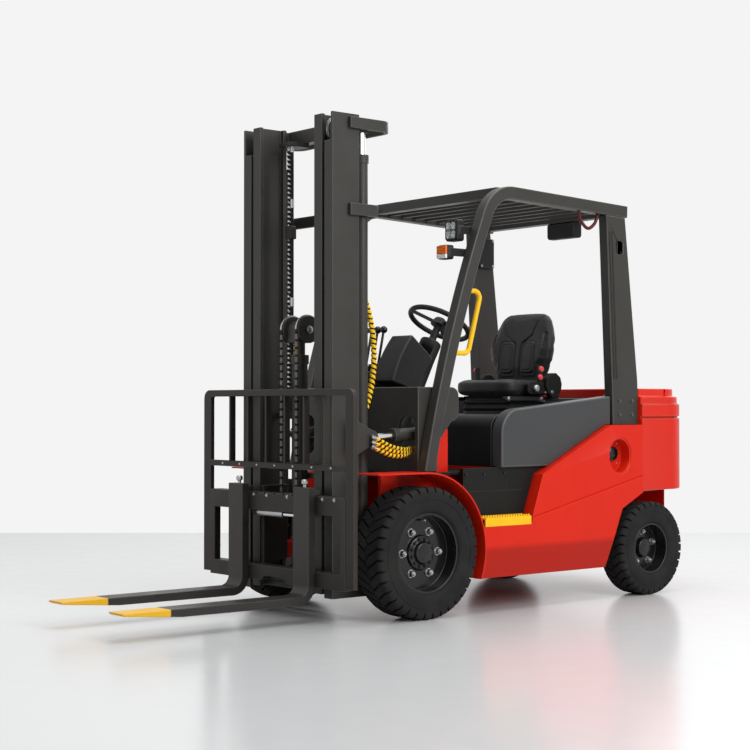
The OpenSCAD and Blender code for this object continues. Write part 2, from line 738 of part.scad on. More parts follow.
// Hood that carries the seat, hinged on the counterweight
lid_z = deck_z - 50;
module lid(g, low) {
  plate(-hood_y + g, hood_y - g, [[split_x - 5 - g, low], [hinge_x + 26 + g, low],
    [hinge_x + 26 + g, hinge_z - g], [hood_x1 + 20 - g / 2, hinge_z - g],
    [hood_x1 + 60 - g / 2, deck_z - g], [split_x - 5 - g, deck_z - g]]);
}
module hood() color(black) at_origin() {
  difference() {
    lid(0, lid_z);
    lid(deck_t, lid_z - 20);
  }
  both() difference() {
    union() {
      rod_y(hinge_x, hinge_z, 18, hinge_y - 56, hinge_y - 6);
      block([hinge_x, hinge_y - 56, hinge_z - 18], [hinge_x + 40, hinge_y - 6, hinge_z - 1]);
    }
    rod_y(hinge_x, hinge_z, 10 + run_gap, hinge_y - 70, hinge_y + 8);
  }
}

// Suspension seat: stepped base, cushion, leaning back and hip covers
seat_x = hood_x0 - 555;
seat_y = seat_w / 2;
cushion_z = deck_z + 100;
cushion_h = 100;
seat_lean = 8;
module seat_base() color(black) at_origin() {
  for (i = [0:2]) {
    m = 6 * i;
    translate([0, 0, deck_z + seat_gap + 33 * i])
      linear_extrude(34 - (i == 2 ? 0.4 : 0))
        soft_rect([seat_x - 160 + m, -200 + m], [seat_x + 160 - m, 200 - m], 40);
  }
}
module seat_cushion() color(black) at_origin() difference() {
  translate([0, 0, cushion_z + seat_gap])
    linear_extrude(cushion_h)
      soft_rect([seat_x - 190, -seat_y], [seat_x + 200, seat_y], 60);
  translate([seat_x - 300, 0, cushion_z + cushion_h + 395]) rotate([0, 90, 0]) cylinder(r = 420, h = 600);
}
module seat_back() color(black) at_origin()
  translate([seat_x - 85, 0, cushion_z + cushion_h + seat_gap])
    difference() {
      rotate([0, -seat_lean, 0])
        front_view(-110, 0) {
          h = seat_rise - cushion_h - 100;
          polygon([[-seat_y + 60, -30], [seat_y - 60, -30], [seat_y + 10, 130], [seat_y + 10, 190],
            [seat_y - 60, h - 70], [-seat_y + 60, h - 70], [-seat_y - 10, 190], [-seat_y - 10, 130]]);
          soft_rect([-seat_y + 60, h - 150], [seat_y - 60, h], 70);
        }
      block([-400, -400, -200], [300, 400, 0]);
    }
module seat_sides() color(black) at_origin() both() {
  rod_y(seat_x - 120, cushion_z + 60, 62, seat_y + seat_gap, seat_y + 42);
  block([seat_x - 120, seat_y + seat_gap, cushion_z + 20], [seat_x + 70, seat_y + 34, cushion_z + 64]);
}

// Tyres: rings of points carried round from bore to bore. Two rows of slanting lugs,
// half a step apart, interlock in the middle and draw in at the shoulders. A lug's edges
// are its share of the step and its depth under the tread.
lug_depth = 17;
lug_twist = 8;
lug_mesh = 10;
shoulder = 24;
lug_a = [[0.02, lug_depth], [0.1, 0], [0.78, 0], [0.86, lug_depth]];
lug_b = [[0.28, 0], [0.36, lug_depth], [0.52, lug_depth], [0.6, 0]];
bore_edge = [[0, 0], [0.25, 0], [0.5, 0], [0.75, 0]];
function lug_ring(r, z, lugs, edges, turn) = [for (i = [0:lugs - 1], e = edges)
  let (a = 360 / lugs * (i + e[0]) - turn) concat((r - e[1]) * [cos(a), sin(a)], [z])];
function lug_row(r, bore, w, lugs, edges, s) = concat(
  lug_ring(bore, s * w / 2, lugs, bore_edge, lug_twist),
  lug_ring(r * 0.93, s * w / 2, lugs, edges, lug_twist),
  lug_ring(r, s * (w / 2 - shoulder), lugs, edges, lug_twist),
  lug_ring(r, s * lug_mesh, lugs, edges, 0));
module tyre(r, rim, w, lugs) {
  n = 4 * lugs;
  bore = (rim + 0.1) / cos(180 / n);
  order = [0, 1, 2, 3, 7, 6, 5, 4, 0];
  translate([0, w / 2, r])
    rotate([-90, 0, 0])
      rotate(90 + lug_twist - 0.78 * 360 / lugs)
        polyhedron(
          concat(lug_row(r, bore, w, lugs, lug_a, 1), lug_row(r, bore, w, lugs, lug_b, -1)),
          [for (k = [0:7], j = [0:n - 1], half = [0, 1])
            let (a = order[k] * n, b = order[k + 1] * n, next = (j + 1) % n)
              half == 0 ? [a + j, a + next, b + next] : [a + j, b + next, b + j]]);
}
module rotate_about(z, a) translate([0, 0, z]) rotate([0, a, 0]) translate([0, 0, -z]) children();
module front_rim(r, rim, w, nuts) {
  b = rim - 0.1;
  disc = w - 92;
  turned_y(0, r, [[0, w - 150], [hub_r, w - 150], [hub_r, disc], [b - 16, disc], [b - 16, 14],
    [b, 14], [b, w - 14], [b - 12, w - 14], [b - 16, disc + 12], [hub_r + 12, disc + 14],
    [hub_r + 4, disc + 30], [hub_r - 18, disc + 34], [hub_r - 28, disc + 52], [0, disc + 54]]);
  for (i = [0:nuts - 1])
    rotate_about(r, 360 / nuts * (i + 0.5))
      rod_y(0, r + 0.42 * (hub_r + rim), 13, disc + 8, disc + 34);
}
module rear_rim(r, rim, w, nuts) {
  b = rim - 0.1;
  turned_y(0, r, [[0, 45], [66, 45], [66, 60], [b - 14, 60], [b - 14, 10], [b, 10], [b, w - 10],
    [b - 10, w - 10], [b - 14, 76], [56, 78], [48, w - 52], [0, w - 46]]);
  for (i = [0:nuts - 1])
    rotate_about(r, 360 / nuts * i) rod_y(0, r + rim * 0.64, 12, 70, 96);
}
module front_left() at_origin() translate([0, front_in, 0]) children();
module front_right() at_origin() mirror([0, 1, 0]) translate([0, front_in, 0]) children();
module rear_left() at_origin() translate([rear_x, rear_in, 0]) children();
module rear_right() at_origin() mirror([0, 1, 0]) translate([rear_x, rear_in, 0]) children();
module front_tyre_left() color(rubber) front_left() tyre(front_r, front_rim, front_tyre_w, front_lugs);
module front_tyre_right() color(rubber) front_right() tyre(front_r, front_rim, front_tyre_w, front_lugs);
module front_rim_left() color(black) front_left() front_rim(front_r, front_rim, front_tyre_w, front_nuts);
module front_rim_right() color(black) front_right() front_rim(front_r, front_rim, front_tyre_w, front_nuts);
module rear_tyre_left() color(rubber) rear_left() tyre(rear_r, rear_rim, rear_tyre_w, rear_lugs);
module rear_tyre_right() color(rubber) rear_right() tyre(rear_r, rear_rim, rear_tyre_w, rear_lugs);
module rear_rim_left() color(black) rear_left() rear_rim(rear_r, rear_rim, rear_tyre_w, rear_nuts);
module rear_rim_right() color(black) rear_right() rear_rim(rear_r, rear_rim, rear_tyre_w, rear_nuts);

// Bows that tie the outer columns together behind the mast
module bow(z, h, back) {
  t = 20;
  r = 70;
  side = mast_x0 + 70 - back - r;
  both() translate([back + t / 2, 0, z])
    linear_extrude(h)
      rotate(90)
        bar_line(mast_y + t - r, t)
          mirror([0, 1]) bar_arc(r - t / 2, 90, t) bar_line(side, t);
}
module mast_bows() color(charcoal) at_origin() {
  bow(mast_height - 72, 55, mast_x0 - 205);
  bow(mast_height - 495, 58, mast_x0 - 141);
}

// Outer mast: channels with an arc-ended notch at the top, foot beam, pivots, tilt
// brackets and top rollers
notch_r = 40;
top_roller = mast_height - 75;
bracket_t = 10;
module outer_mast() color(charcoal) at_origin() {
  both() difference() {
    union() {
      block([mast_x0, mast_y - outer_flange, mast_foot], [mast_x1, mast_y - seat_gap, mast_height]);
      plate(mast_y - 32, mast_y - seat_gap, [[mast_x0 + 5, pivot_z - 60], [pivot_x, pivot_z - 45],
        [pivot_x, pivot_z + 45], [mast_x0 + 5, pivot_z + 140]]);
      rod_y(pivot_x, pivot_z, 45, mast_y - 32, mast_y - seat_gap);
    }
    block([mast_x0 + flange_t, mast_y - outer_flange - 5, mast_foot - 5],
      [mast_x1 - flange_t, mast_y - web_t, mast_height + 5]);
    rod_y(pivot_x, pivot_z, pivot_r + run_gap, spine_y, mast_y + 5);
    block([mast_x1 - notch_r, mast_y - outer_flange - 5, top_roller - 20],
      [mast_x1 + 5, mast_y - web_t, mast_height + 5]);
    rod_y(mast_x1, top_roller - 20, notch_r, mast_y - outer_flange - 5, mast_y - web_t);
  }
  block([mast_x0 - 46, -mast_y + seat_gap, mast_foot], [mast_x0 - 6, mast_y - seat_gap, mast_foot + 90]);
  both() block([mast_x0 - 10, inner_y1 + 20, mast_foot], [mast_x0 + 2, mast_y - seat_gap, mast_foot + 90]);
  both() for (y = [mast_y - 1, tilt_y + tilt_rod_r + 2])
    side_view(y, y + bracket_t) {
      translate([eye_x, eye_z]) circle(r = 36);
      polygon([[eye_x, eye_z - 36], [eye_x, eye_z + 36],
        [mast_x0 + 80, eye_z + 90], [mast_x0 + 80, eye_z - 90]]);
    }
  both() block([mast_x0 + 30, mast_y - 1, eye_z - 50], [mast_x0 + 60, tilt_y + 30, eye_z + 50]);
  both() rod_y(eye_x, eye_z, tilt_pin_r, mast_y - 1, tilt_y + 34);
  both() rod_y(mast_xc, top_roller, roller_r, inner_yc + 12, inner_y1 + 14);
  both() rod_y(mast_xc, top_roller, 24, inner_y1, mast_y - web_t + 1);
  both() block([lift_x - 30, lift_y - 30, lift_z0 - 16], [mast_x0 + 2, lift_y + 30, lift_z0]);
}

// Lift cylinders behind the outer columns, each with a gland at its top
lift_top = mast_height - 190;
module lift_barrels() color(charcoal) at_origin() both() difference() {
  union() {
    rod_z(lift_x, lift_y, lift_barrel_d / 2, lift_z0 + seat_gap, lift_top);
    rod_z(lift_x, lift_y, lift_barrel_d / 2 + 5, lift_top - 40, lift_top);
  }
  rod_z(lift_x, lift_y, lift_rod_r + run_gap, lift_z0 + 20, mast_height);
}

// Inner mast: beams, rear top beam, foot beam and foot rollers
tie_z = mast_height - 82;
module inner_mast() color(charcoal) at_origin() {
  both() difference() {
    block([mast_x0, inner_y0, inner_foot], [mast_x1, inner_y1, mast_height]);
    for (y = [inner_y0 - 5, inner_yc + web_t / 2])
      block([mast_x0 + flange_t, y, inner_foot - 5],
        [mast_x1 - flange_t, y + inner_yc - inner_y0 - web_t / 2 + 5, mast_height + 5]);
  }
  block([mast_x0 - 72, -lift_y - 24, tie_z], [mast_x0 - 12, lift_y + 24, mast_height - 10]);
  both() block([mast_x0 - 20, inner_y0 + 2, tie_z], [mast_x0 + 2, inner_y1 - 2, mast_height - 10]);
  block([pulley_x - 46, -inner_yc, inner_foot], [pulley_x + 40, inner_yc, inner_foot + 30]);
  both() rod_y(mast_xc, inner_foot + 75, roller_r, inner_y1 + 18, mast_y - web_t - 4);
  both() rod_y(mast_xc, inner_foot + 75, 24, inner_yc, inner_y1 + 20);
}
module lift_rods() color(steel) at_origin() both()
  rod_z(lift_x, lift_y, lift_rod_r, lift_z0 + 60, tie_z - seat_gap);

// Free-lift cylinder in the middle of the inner mast
free_r = 40;
free_rod_r = 27;
module free_barrel() color(charcoal) at_origin() difference() {
  union() {
    rod_z(pulley_x, 0, free_r, inner_foot + 30 + seat_gap, barrel_top);
    rod_z(pulley_x, 0, free_r + 6, barrel_top - 46, barrel_top);
    block([pulley_x - pulley_r - 16, -pulley_y - 14, anchor_z - 28],
      [pulley_x - 30, pulley_y + 14, anchor_z - seat_gap]);
  }
  rod_z(pulley_x, 0, free_rod_r + run_gap, inner_foot + 70, barrel_top + 5);
}

// Crosshead on the free-lift rod, with a chain pulley on each side
module crosshead() color(steel) at_origin() {
  half = pulley_w / 2;
  rod_z(pulley_x, 0, free_rod_r, inner_foot + 180, pulley_z - 30);
  side_view(-pulley_y + half + 4, pulley_y - half - 4) {
    translate([pulley_x, pulley_z]) circle(r = 44);
    translate([pulley_x - 44, pulley_z - 64]) square([88, 64]);
  }
  rod_y(pulley_x, pulley_z, 16, -pulley_y - 22, pulley_y + 22);
  both() for (y = [pulley_y - half, pulley_y + half - 4])
    rod_y(pulley_x, pulley_z, pulley_r + 8, y, y + 4);
  both() rod_y(pulley_x, pulley_z, pulley_r, pulley_y - half, pulley_y + half);
}

// Lift chains, wide and narrow links by turns: the front strands hold the carriage,
// the rear ones the inner mast
chain_w = 18;
chain_t = 12;
chain_gap = 0.5;
chain_pitch = 38;
module chain(x, z0, z1) {
  n = round((z1 - z0) / chain_pitch / 2) * 2 + 1;
  l = (z1 - z0) / n;
  for (i = [0:n - 1]) {
    in = i % 2 == 0 ? 0 : 3;
    y = chain_w / 2 - in;
    translate([x, pulley_y, z0 + l * i])
      block([in / 2, -y, 0], [chain_t - in / 2, y, i < n - 1 ? l + lap : l]);
  }
}
module chain_front() color(charcoal) at_origin() both()
  chain(pulley_x + pulley_r + chain_gap, bar_top - 40, pulley_z - 2);
module chain_rear() color(charcoal) at_origin() both()
  chain(pulley_x - pulley_r - chain_gap - chain_t, anchor_z, pulley_z - 2);

// Carriage between the inner columns
side_t = 22;
module carriage() color(charcoal) at_origin() {
  y1 = inner_y0 - 24;
  foot = bar_low + 80;
  block([carriage_x0, -cross_y, bar_top - bar_h], [carriage_x1, cross_y, bar_top - 6]);
  block([carriage_x0, -cross_y, bar_low + 6], [carriage_x1, cross_y, bar_low + bar_low_h]);
  both() plate(y1 - side_t, y1, [[carriage_x0 + 2, bar_low + 10], [mast_x1 - 32, bar_low + 10],
    [mast_x1 - 32, foot], [mast_x0 + 24, foot + 12],
    [mast_x0 + 24, bar_top + 30], [carriage_x0 + 2, bar_top + 30]]);
  both() for (z = [bar_low + 150, bar_top - 50]) {
    rod_y(mast_xc, z, roller_r, inner_y0 - 18, inner_yc - 12);
    rod_y(mast_xc, z, 24, inner_y0 - 30, inner_y0 - 16);
  }
  both() block([pulley_x + pulley_r - 10, pulley_y - 20, bar_top - 80],
    [carriage_x0 + 2, pulley_y + 20, bar_top - 40 - seat_gap]);
}

// Side-shift frame in front of the carriage, with a notched lower bar and its cylinder
module shifter() color(charcoal) at_origin() {
  front_view(shift_x0, shift_x1) difference() {
    polygon([[-cross_y, bar_low], [cross_y, bar_low], [cross_y, bar_top], [-cross_y, bar_top]]);
    polygon([[-cross_y + 40, bar_low + bar_low_h], [cross_y - 40, bar_low + bar_low_h],
      [cross_y - 40, bar_top - bar_h], [-cross_y + 40, bar_top - bar_h]]);
    polygon([[-105, bar_low - 1], [105, bar_low - 1], [85, bar_low + 24], [-85, bar_low + 24]]);
    for (i = [-5:5])
      translate([i * 76 - 8, bar_top - 10]) square([16, 20]);
  }
  block([carriage_x0 + 2, -cross_y, bar_top - 5], [shift_x0 + 1, cross_y, bar_top]);
  rod_y(shift_x0 + 19, bar_top - bar_h - 13, 16, -190, 60);
  rod_y(shift_x0 + 19, bar_top - bar_h - 13, 10, 50, 190);
}

// Load backrest: a frame with round upper corners, a middle rail and upright bars
rail_h = 30;
corner_r = 46;
module backrest() color(charcoal) at_origin() {
  x0 = shift_x1 - 26;
  x1 = shift_x1 - 2;
  top_h = 34;
  mid = bar_top + (backrest_height - bar_top) * 0.235;
  front_view(x0, x1) difference() {
    union() {
      soft_rect([-half_w, backrest_height - 3 * corner_r], [half_w, backrest_height], corner_r);
      translate([-half_w, bar_low + 12]) square([2 * half_w, backrest_height - 2 * corner_r - bar_low - 12]);
    }
    soft_rect([-cross_y - seat_gap, bar_low - 60], [cross_y + seat_gap, backrest_height - top_h], 14);
  }
  front_view(x0, x1) translate([-half_w + 20, mid]) square([2 * half_w - 40, rail_h]);
  pitch = half_w * 2 / 8;
  both() for (i = [0.5, 1.5, 2.5])
    block([x0 - 12, pitch * i - 6, mid + 4], [x1 - 1, pitch * i + 6, backrest_height - 10]);
}

// Forks: shank, heel and blade bent from one bar, the blade tapered to its tip
module fork(y) translate([0, y, 0]) {
  heel = heel_r + fork_t / 2;
  top = bar_top + 40;
  side_view(-fork_w / 2, fork_w / 2)
    translate([shank_x0 + fork_t / 2, top])
      rotate(-90)
        bar_line(top - fork_height - heel - fork_t / 2, fork_t)
          bar_arc(heel, 90, fork_t)
            fork_blade(tip_x - shank_x0 - fork_t / 2 - heel);
  block([shank_x0 - 30, -fork_w / 2, bar_top + seat_gap], [shank_x0 + 2, fork_w / 2, bar_top + 28]);
}
module fork_blade(l) polygon([[0, -fork_t / 2], [l * 0.68, -fork_t / 2 + 4], [l - 12, fork_t / 2 - 13],
  [l, fork_t / 2 - 6], [l - 4, fork_t / 2], [0, fork_t / 2]]);
module fork_left() color(charcoal) at_origin() fork(fork_spread / 2);
module fork_right() color(charcoal) at_origin() fork(-fork_spread / 2);

// Tilt cylinders: the barrel turns on the frame, the rod slides in it
module on_tilt() both() translate([base_x, tilt_y, base_z]) rotate([0, tilt_dip, 0]) children();
module along(x, r, l) translate([x, 0, 0]) rotate([0, 90, 0]) cylinder(r = r, h = l);
module across(x, r, w) translate([x, w / 2, 0]) rotate([90, 0, 0]) cylinder(r = r, h = w);
module tilt_barrels() color(charcoal) at_origin() on_tilt() difference() {
  gland = 34;
  end = tilt_run - 146;
  union() {
    across(0, 32, 32);
    block([10, -15, -24], [60, 15, 24]);
    along(52, tilt_r - 4, end - 52);
    along(end - gland, tilt_r, gland);
  }
  across(0, tilt_pin_r + run_gap, 100);
  along(60, tilt_rod_r + run_gap, tilt_run);
}
module tilt_rods() color(steel) at_origin() on_tilt() difference() {
  union() {
    along(130, tilt_rod_r, tilt_run - 150);
    across(tilt_run, 31, 30);
  }
  across(tilt_run, tilt_pin_r + eye_play, 100);
}

// Hoses on the mast: one bowed hose behind each column
hose_d = 24;
hose_bow = 690;
hose_a = 46;
module mast_hoses() color(yellow) at_origin() both() difference() {
  upright(lift_x - 28, lift_y, eye_z + 134, 90 + hose_a / 2)
    mirror([0, 1, 0]) tube_arc(hose_bow, hose_a, hose_d);
  rod_z(lift_x, lift_y, lift_barrel_d / 2 + seat_gap, eye_z, mast_height);
}

frame();
side_tanks();
front_plates();
rear_spine();
battery();
counterweight();
counterweight_foot();
side_panels();
lower_covers();
step_plates();
front_fenders();
floor_plate();
cowl();
steering_column();
levers();
pedals();
guard_front();
guard_roof();
guard_rear();
grab_handle();
lamps();
lamp_lenses();
drive_axle();
steer_axle();
hood_flanks();
front_deck();
hood();
seat_base();
seat_cushion();
seat_back();
seat_sides();
steering_wheel();
front_tyre_left();
front_rim_left();
front_tyre_right();
front_rim_right();
knuckle_left();
knuckle_right();
rear_tyre_left();
rear_rim_left();
rear_tyre_right();
rear_rim_right();
outer_mast();
mast_bows();
lift_barrels();
inner_mast();
lift_rods();
free_barrel();
crosshead();
chain_front();
chain_rear();
carriage();
shifter();
backrest();
fork_left();
fork_right();
tilt_barrels();
tilt_rods();
mast_hoses();
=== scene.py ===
"""Looks of a counterbalance forklift truck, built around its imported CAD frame.

The frame gives every rigid solid.  This script rounds the edges of copies of the
solids, adds the small and soft pieces, gives each surface a finish named for its real
material, and sets a pale studio with a camera at the photograph's viewing angle.
The shared frame is in metres: X forward along the forks, Y to the driver's left, Z up.
Forms are worked out in millimetres from the front axle and converted once, in Shop.
"""

from __future__ import annotations

import json
import logging
import math
from dataclasses import dataclass, replace
from enum import Enum
from typing import Any, Callable, Sequence

import bmesh
import bpy
import numpy as np
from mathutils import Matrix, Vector

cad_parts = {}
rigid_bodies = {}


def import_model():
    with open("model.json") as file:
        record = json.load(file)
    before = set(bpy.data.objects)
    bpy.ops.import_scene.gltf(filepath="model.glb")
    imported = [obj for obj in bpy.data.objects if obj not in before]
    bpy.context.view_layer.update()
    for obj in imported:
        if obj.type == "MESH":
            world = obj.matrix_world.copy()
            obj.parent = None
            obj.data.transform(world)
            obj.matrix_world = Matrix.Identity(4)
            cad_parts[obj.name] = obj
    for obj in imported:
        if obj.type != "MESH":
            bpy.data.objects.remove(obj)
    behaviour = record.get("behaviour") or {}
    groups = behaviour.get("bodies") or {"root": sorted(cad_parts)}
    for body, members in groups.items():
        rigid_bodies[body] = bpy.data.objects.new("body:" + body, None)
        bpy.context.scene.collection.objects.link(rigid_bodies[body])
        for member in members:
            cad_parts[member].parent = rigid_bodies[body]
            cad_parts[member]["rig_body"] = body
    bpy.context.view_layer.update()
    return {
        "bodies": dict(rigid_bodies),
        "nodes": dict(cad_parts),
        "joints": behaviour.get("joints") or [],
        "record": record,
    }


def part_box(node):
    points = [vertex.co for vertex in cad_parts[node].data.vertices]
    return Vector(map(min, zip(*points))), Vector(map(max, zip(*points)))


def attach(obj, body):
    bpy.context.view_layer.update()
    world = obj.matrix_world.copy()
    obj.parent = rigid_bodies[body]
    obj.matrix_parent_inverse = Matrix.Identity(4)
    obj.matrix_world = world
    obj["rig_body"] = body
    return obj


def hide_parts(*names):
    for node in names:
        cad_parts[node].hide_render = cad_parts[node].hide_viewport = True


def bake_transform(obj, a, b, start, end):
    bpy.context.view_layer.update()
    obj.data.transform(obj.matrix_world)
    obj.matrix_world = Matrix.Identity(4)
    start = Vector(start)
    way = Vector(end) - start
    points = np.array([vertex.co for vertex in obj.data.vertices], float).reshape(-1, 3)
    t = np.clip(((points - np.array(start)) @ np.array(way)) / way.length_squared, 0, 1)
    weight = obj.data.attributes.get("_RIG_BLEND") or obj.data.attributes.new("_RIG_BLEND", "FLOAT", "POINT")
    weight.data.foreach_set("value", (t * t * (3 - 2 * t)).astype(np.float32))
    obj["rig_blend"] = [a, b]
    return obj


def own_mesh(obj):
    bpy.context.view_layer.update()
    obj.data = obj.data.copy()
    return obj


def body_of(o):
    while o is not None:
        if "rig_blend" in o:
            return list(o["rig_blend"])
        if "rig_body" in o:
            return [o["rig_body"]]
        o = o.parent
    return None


LOG = logging.getLogger("forklift")
MM = 0.001
Array = np.ndarray

# Points closer than this are one point, in metres.
MERGE = 2e-5
# Faces that bend less than this are one flat face, and edges that bend more are rounded.
FLAT_WITHIN_DEG = 0.15
BEVEL_FROM_DEG = 30.0
BEVEL_SEGMENTS = 2
# Size of the slow cloud in a finish's colour and roughness: about a hand's width.
CLOUD_MM = 160.0
# Settled dust, and a painted shade that darkens what is near the floor.
DUST_COLOUR = "#8d8780"
PAINTED_SHADE_SHARE = 0.5
PAINTED_SHADE_TONE = 0.25
PAINTED_SHADE_FADE_M = 0.03


def linear(code: str) -> tuple[float, float, float, float]:
    """Turns an sRGB hex colour into linear light.

    Args:
        code: Six hex digits, with or without a leading hash.

    Returns:
        Red, green, blue and full opacity, each from 0 to 1.
    """
    digits = code.lstrip("#")
    srgb = np.array([int(digits[i : i + 2], 16) for i in (0, 2, 4)]) / 255.0
    low = srgb / 12.92
    high = ((srgb + 0.055) / 1.055) ** 2.4
    red, green, blue = np.where(srgb <= 0.04045, low, high)
    return float(red), float(green), float(blue), 1.0


def add(
    tree: bpy.types.NodeTree,
    kind: str,
    settings: dict[str | int, Any] | None = None,
    links: dict[str | int, bpy.types.NodeSocket] | None = None,
) -> bpy.types.Node:
    """Adds one shader node with its settings and links.

    Args:
        tree: Node tree that takes the node.
        kind: Blender's class name of the node.
        settings: Node properties, or input sockets by name or number, with values.
        links: Input sockets by name or number, with the output that feeds each.

    Returns:
        The new node.
    """
    node = tree.nodes.new(kind)
    for key, value in (settings or {}).items():
        if isinstance(key, str) and hasattr(node, key):
            setattr(node, key, value)
        else:
            node.inputs[key].default_value = value
    for key, source in (links or {}).items():
        tree.links.new(source, node.inputs[key])
    return node


def per_metre(size_mm: float) -> float:
    """Texture scale at which one pattern cell is size_mm wide in Object coordinates."""
    return 1000.0 / size_mm


class Grain(Enum):
    """Kinds of fine relief that a surface's making leaves."""

    PEBBLE = "even pebble of powder coat, moulded plastic and rubber"
    LEATHER = "cells of embossed vinyl"
    BRUSHED = "fine lines along X of drawn or ground metal"


@dataclass(frozen=True)
class Finish:
    """A surface finish: what the material is and how its surface was made.

    The colour drifts a little over a hand's width, the roughness is smudged at the
    same scale, and a fine pattern of grain_mm stands grain_depth_mm high.

    Attributes:
        name: Common name of the real material, used as the material's name.
        colour: sRGB hex of the clean surface.
        rough: Typical roughness.
        grain_mm: Size of the fine pattern in millimetres.
        grain_depth_mm: Height of the fine pattern in millimetres.
        metallic: 1 for bare metal, 0 for paint, plastic and rubber.
        specular: Strength of the plain reflection of paint, plastic and rubber.
        coat: Weight of a clear gloss layer over the paint.
        dust: Share of pale dust in the hollows of the cloud pattern.
        painted_shade_m: Height over the floor under which a painted shade darkens the surface.
        drift: How far the colour wanders between light and dark.
        smudge: How far the roughness wanders.
        sheen: Soft reflection of cloth or dusty rubber.
        clear: Share of light that passes through.
        grain: Kind of fine relief.
    """

    name: str
    colour: str
    rough: float
    grain_mm: float = 2.0
    grain_depth_mm: float = 0.03
    metallic: float = 0.0
    specular: float = 0.3
    coat: float = 0.0
    dust: float = 0.0
    painted_shade_m: float = 0.0
    drift: float = 0.06
    smudge: float = 0.08
    sheen: float = 0.0
    clear: float = 0.0
    grain: Grain = Grain.PEBBLE

    def build(self) -> bpy.types.Material:
        """Makes the node material, or returns it if it is there already.

        Returns:
            The finished material.
        """
        ready = bpy.data.materials.get(self.name)
        if ready is not None:
            return ready
        material = bpy.data.materials.new(self.name)
        material.use_nodes = True
        tree = material.node_tree
        shader = tree.nodes["Principled BSDF"]
        constants = {
            "Metallic": self.metallic,
            "Specular IOR Level": self.specular,
            "Coat Weight": self.coat,
            "Coat Roughness": 0.06,
            "Sheen Weight": self.sheen,
            "Transmission Weight": self.clear,
        }
        for socket, value in constants.items():
            shader.inputs[socket].default_value = value
        place = add(tree, "ShaderNodeTexCoord").outputs["Object"]
        cloud = add(
            tree,
            "ShaderNodeTexNoise",
            {"Scale": per_metre(CLOUD_MM), "Detail": 5.0, "Roughness": 0.6},
            {"Vector": place},
        ).outputs["Fac"]
        colour = self.paint(tree, place, cloud)
        tree.links.new(colour, shader.inputs["Base Color"])
        rough = add(
            tree,
            "ShaderNodeMapRange",
            {
                "From Min": 0.3,
                "From Max": 0.7,
                "To Min": max(0.02, self.rough - self.smudge),
                "To Max": min(1.0, self.rough + self.smudge),
            },
            {"Value": cloud},
        )
        tree.links.new(rough.outputs["Result"], shader.inputs["Roughness"])
        tree.links.new(self.relief(tree, place), shader.inputs["Normal"])
        material.diffuse_color = linear(self.colour)
        return material

    def paint(
        self, tree: bpy.types.NodeTree, place: bpy.types.NodeSocket, cloud: bpy.types.NodeSocket
    ) -> bpy.types.NodeSocket:
        """Colour that drifts with the cloud pattern, with dust and a painted shade near the floor over it.

        Args:
            tree: Node tree of the material.
            place: Object coordinates.
            cloud: Slow cloud pattern from 0 to 1.

        Returns:
            The colour's output.
        """
        base = np.array(linear(self.colour))[:3]
        ramp = add(tree, "ShaderNodeValToRGB", links={"Fac": cloud})
        ends = ramp.color_ramp.elements
        ends[0].position, ends[1].position = 0.3, 0.7
        ends[0].color = (*np.clip(base * (1 - self.drift), 0, 1), 1)
        ends[1].color = (*np.clip(base * (1 + self.drift), 0, 1), 1)
        colour = ramp.outputs["Color"]
        if self.dust > 0:
            settled = add(
                tree,
                "ShaderNodeMapRange",
                {"From Min": 0.45, "From Max": 0.75, "To Min": 0.0, "To Max": self.dust},
                {"Value": cloud},
            )
            colour = self.over(tree, colour, settled.outputs["Result"], linear(DUST_COLOUR))
        # Painted shade: low on the surface, the colour is darkened towards a quarter of itself.
        if self.painted_shade_m > 0:
            height = add(tree, "ShaderNodeSeparateXYZ", links={"Vector": place}).outputs["Z"]
            low = add(
                tree,
                "ShaderNodeMapRange",
                {
                    "From Min": self.painted_shade_m,
                    "From Max": self.painted_shade_m - PAINTED_SHADE_FADE_M,
                    "To Max": PAINTED_SHADE_SHARE,
                },
                {"Value": height},
            )
            colour = self.over(tree, colour, low.outputs["Result"], (*(base * PAINTED_SHADE_TONE), 1.0))
        return colour

    def over(
        self,
        tree: bpy.types.NodeTree,
        under: bpy.types.NodeSocket,
        share: bpy.types.NodeSocket,
        colour: Sequence[float],
    ) -> bpy.types.NodeSocket:
        """Lays a colour over another by a varying share.

        Args:
            tree: Node tree of the material.
            under: Colour underneath.
            share: Share of the upper colour.
            colour: Upper colour in linear light.

        Returns:
            The mixed colour's output.
        """
        mixed = add(tree, "ShaderNodeMix", {"data_type": "RGBA", 7: tuple(colour)}, {0: share, 6: under})
        return mixed.outputs[2]

    def relief(self, tree: bpy.types.NodeTree, place: bpy.types.NodeSocket) -> bpy.types.NodeSocket:
        """Fine relief of the surface, as a bump of the grain pattern.

        Args:
            tree: Node tree of the material.
            place: Object coordinates.

        Returns:
            The bent normal's output.
        """
        scale = per_metre(self.grain_mm)
        if self.grain is Grain.LEATHER:
            cells = add(tree, "ShaderNodeTexVoronoi", {"Scale": scale}, {"Vector": place})
            height = cells.outputs["Distance"]
        elif self.grain is Grain.BRUSHED:
            drawn = add(tree, "ShaderNodeMapping", {"Scale": (0.03, 1.0, 1.0)}, {"Vector": place})
            lines = add(tree, "ShaderNodeTexNoise", {"Scale": scale}, {"Vector": drawn.outputs[0]})
            height = lines.outputs["Fac"]
        else:
            pebble = add(tree, "ShaderNodeTexNoise", {"Scale": scale, "Detail": 2.0}, {"Vector": place})
            height = pebble.outputs["Fac"]
        bump = add(
            tree,
            "ShaderNodeBump",
            {"Strength": 0.6, "Distance": self.grain_depth_mm * MM},
            {"Height": height},
        )
        return bump.outputs["Normal"]

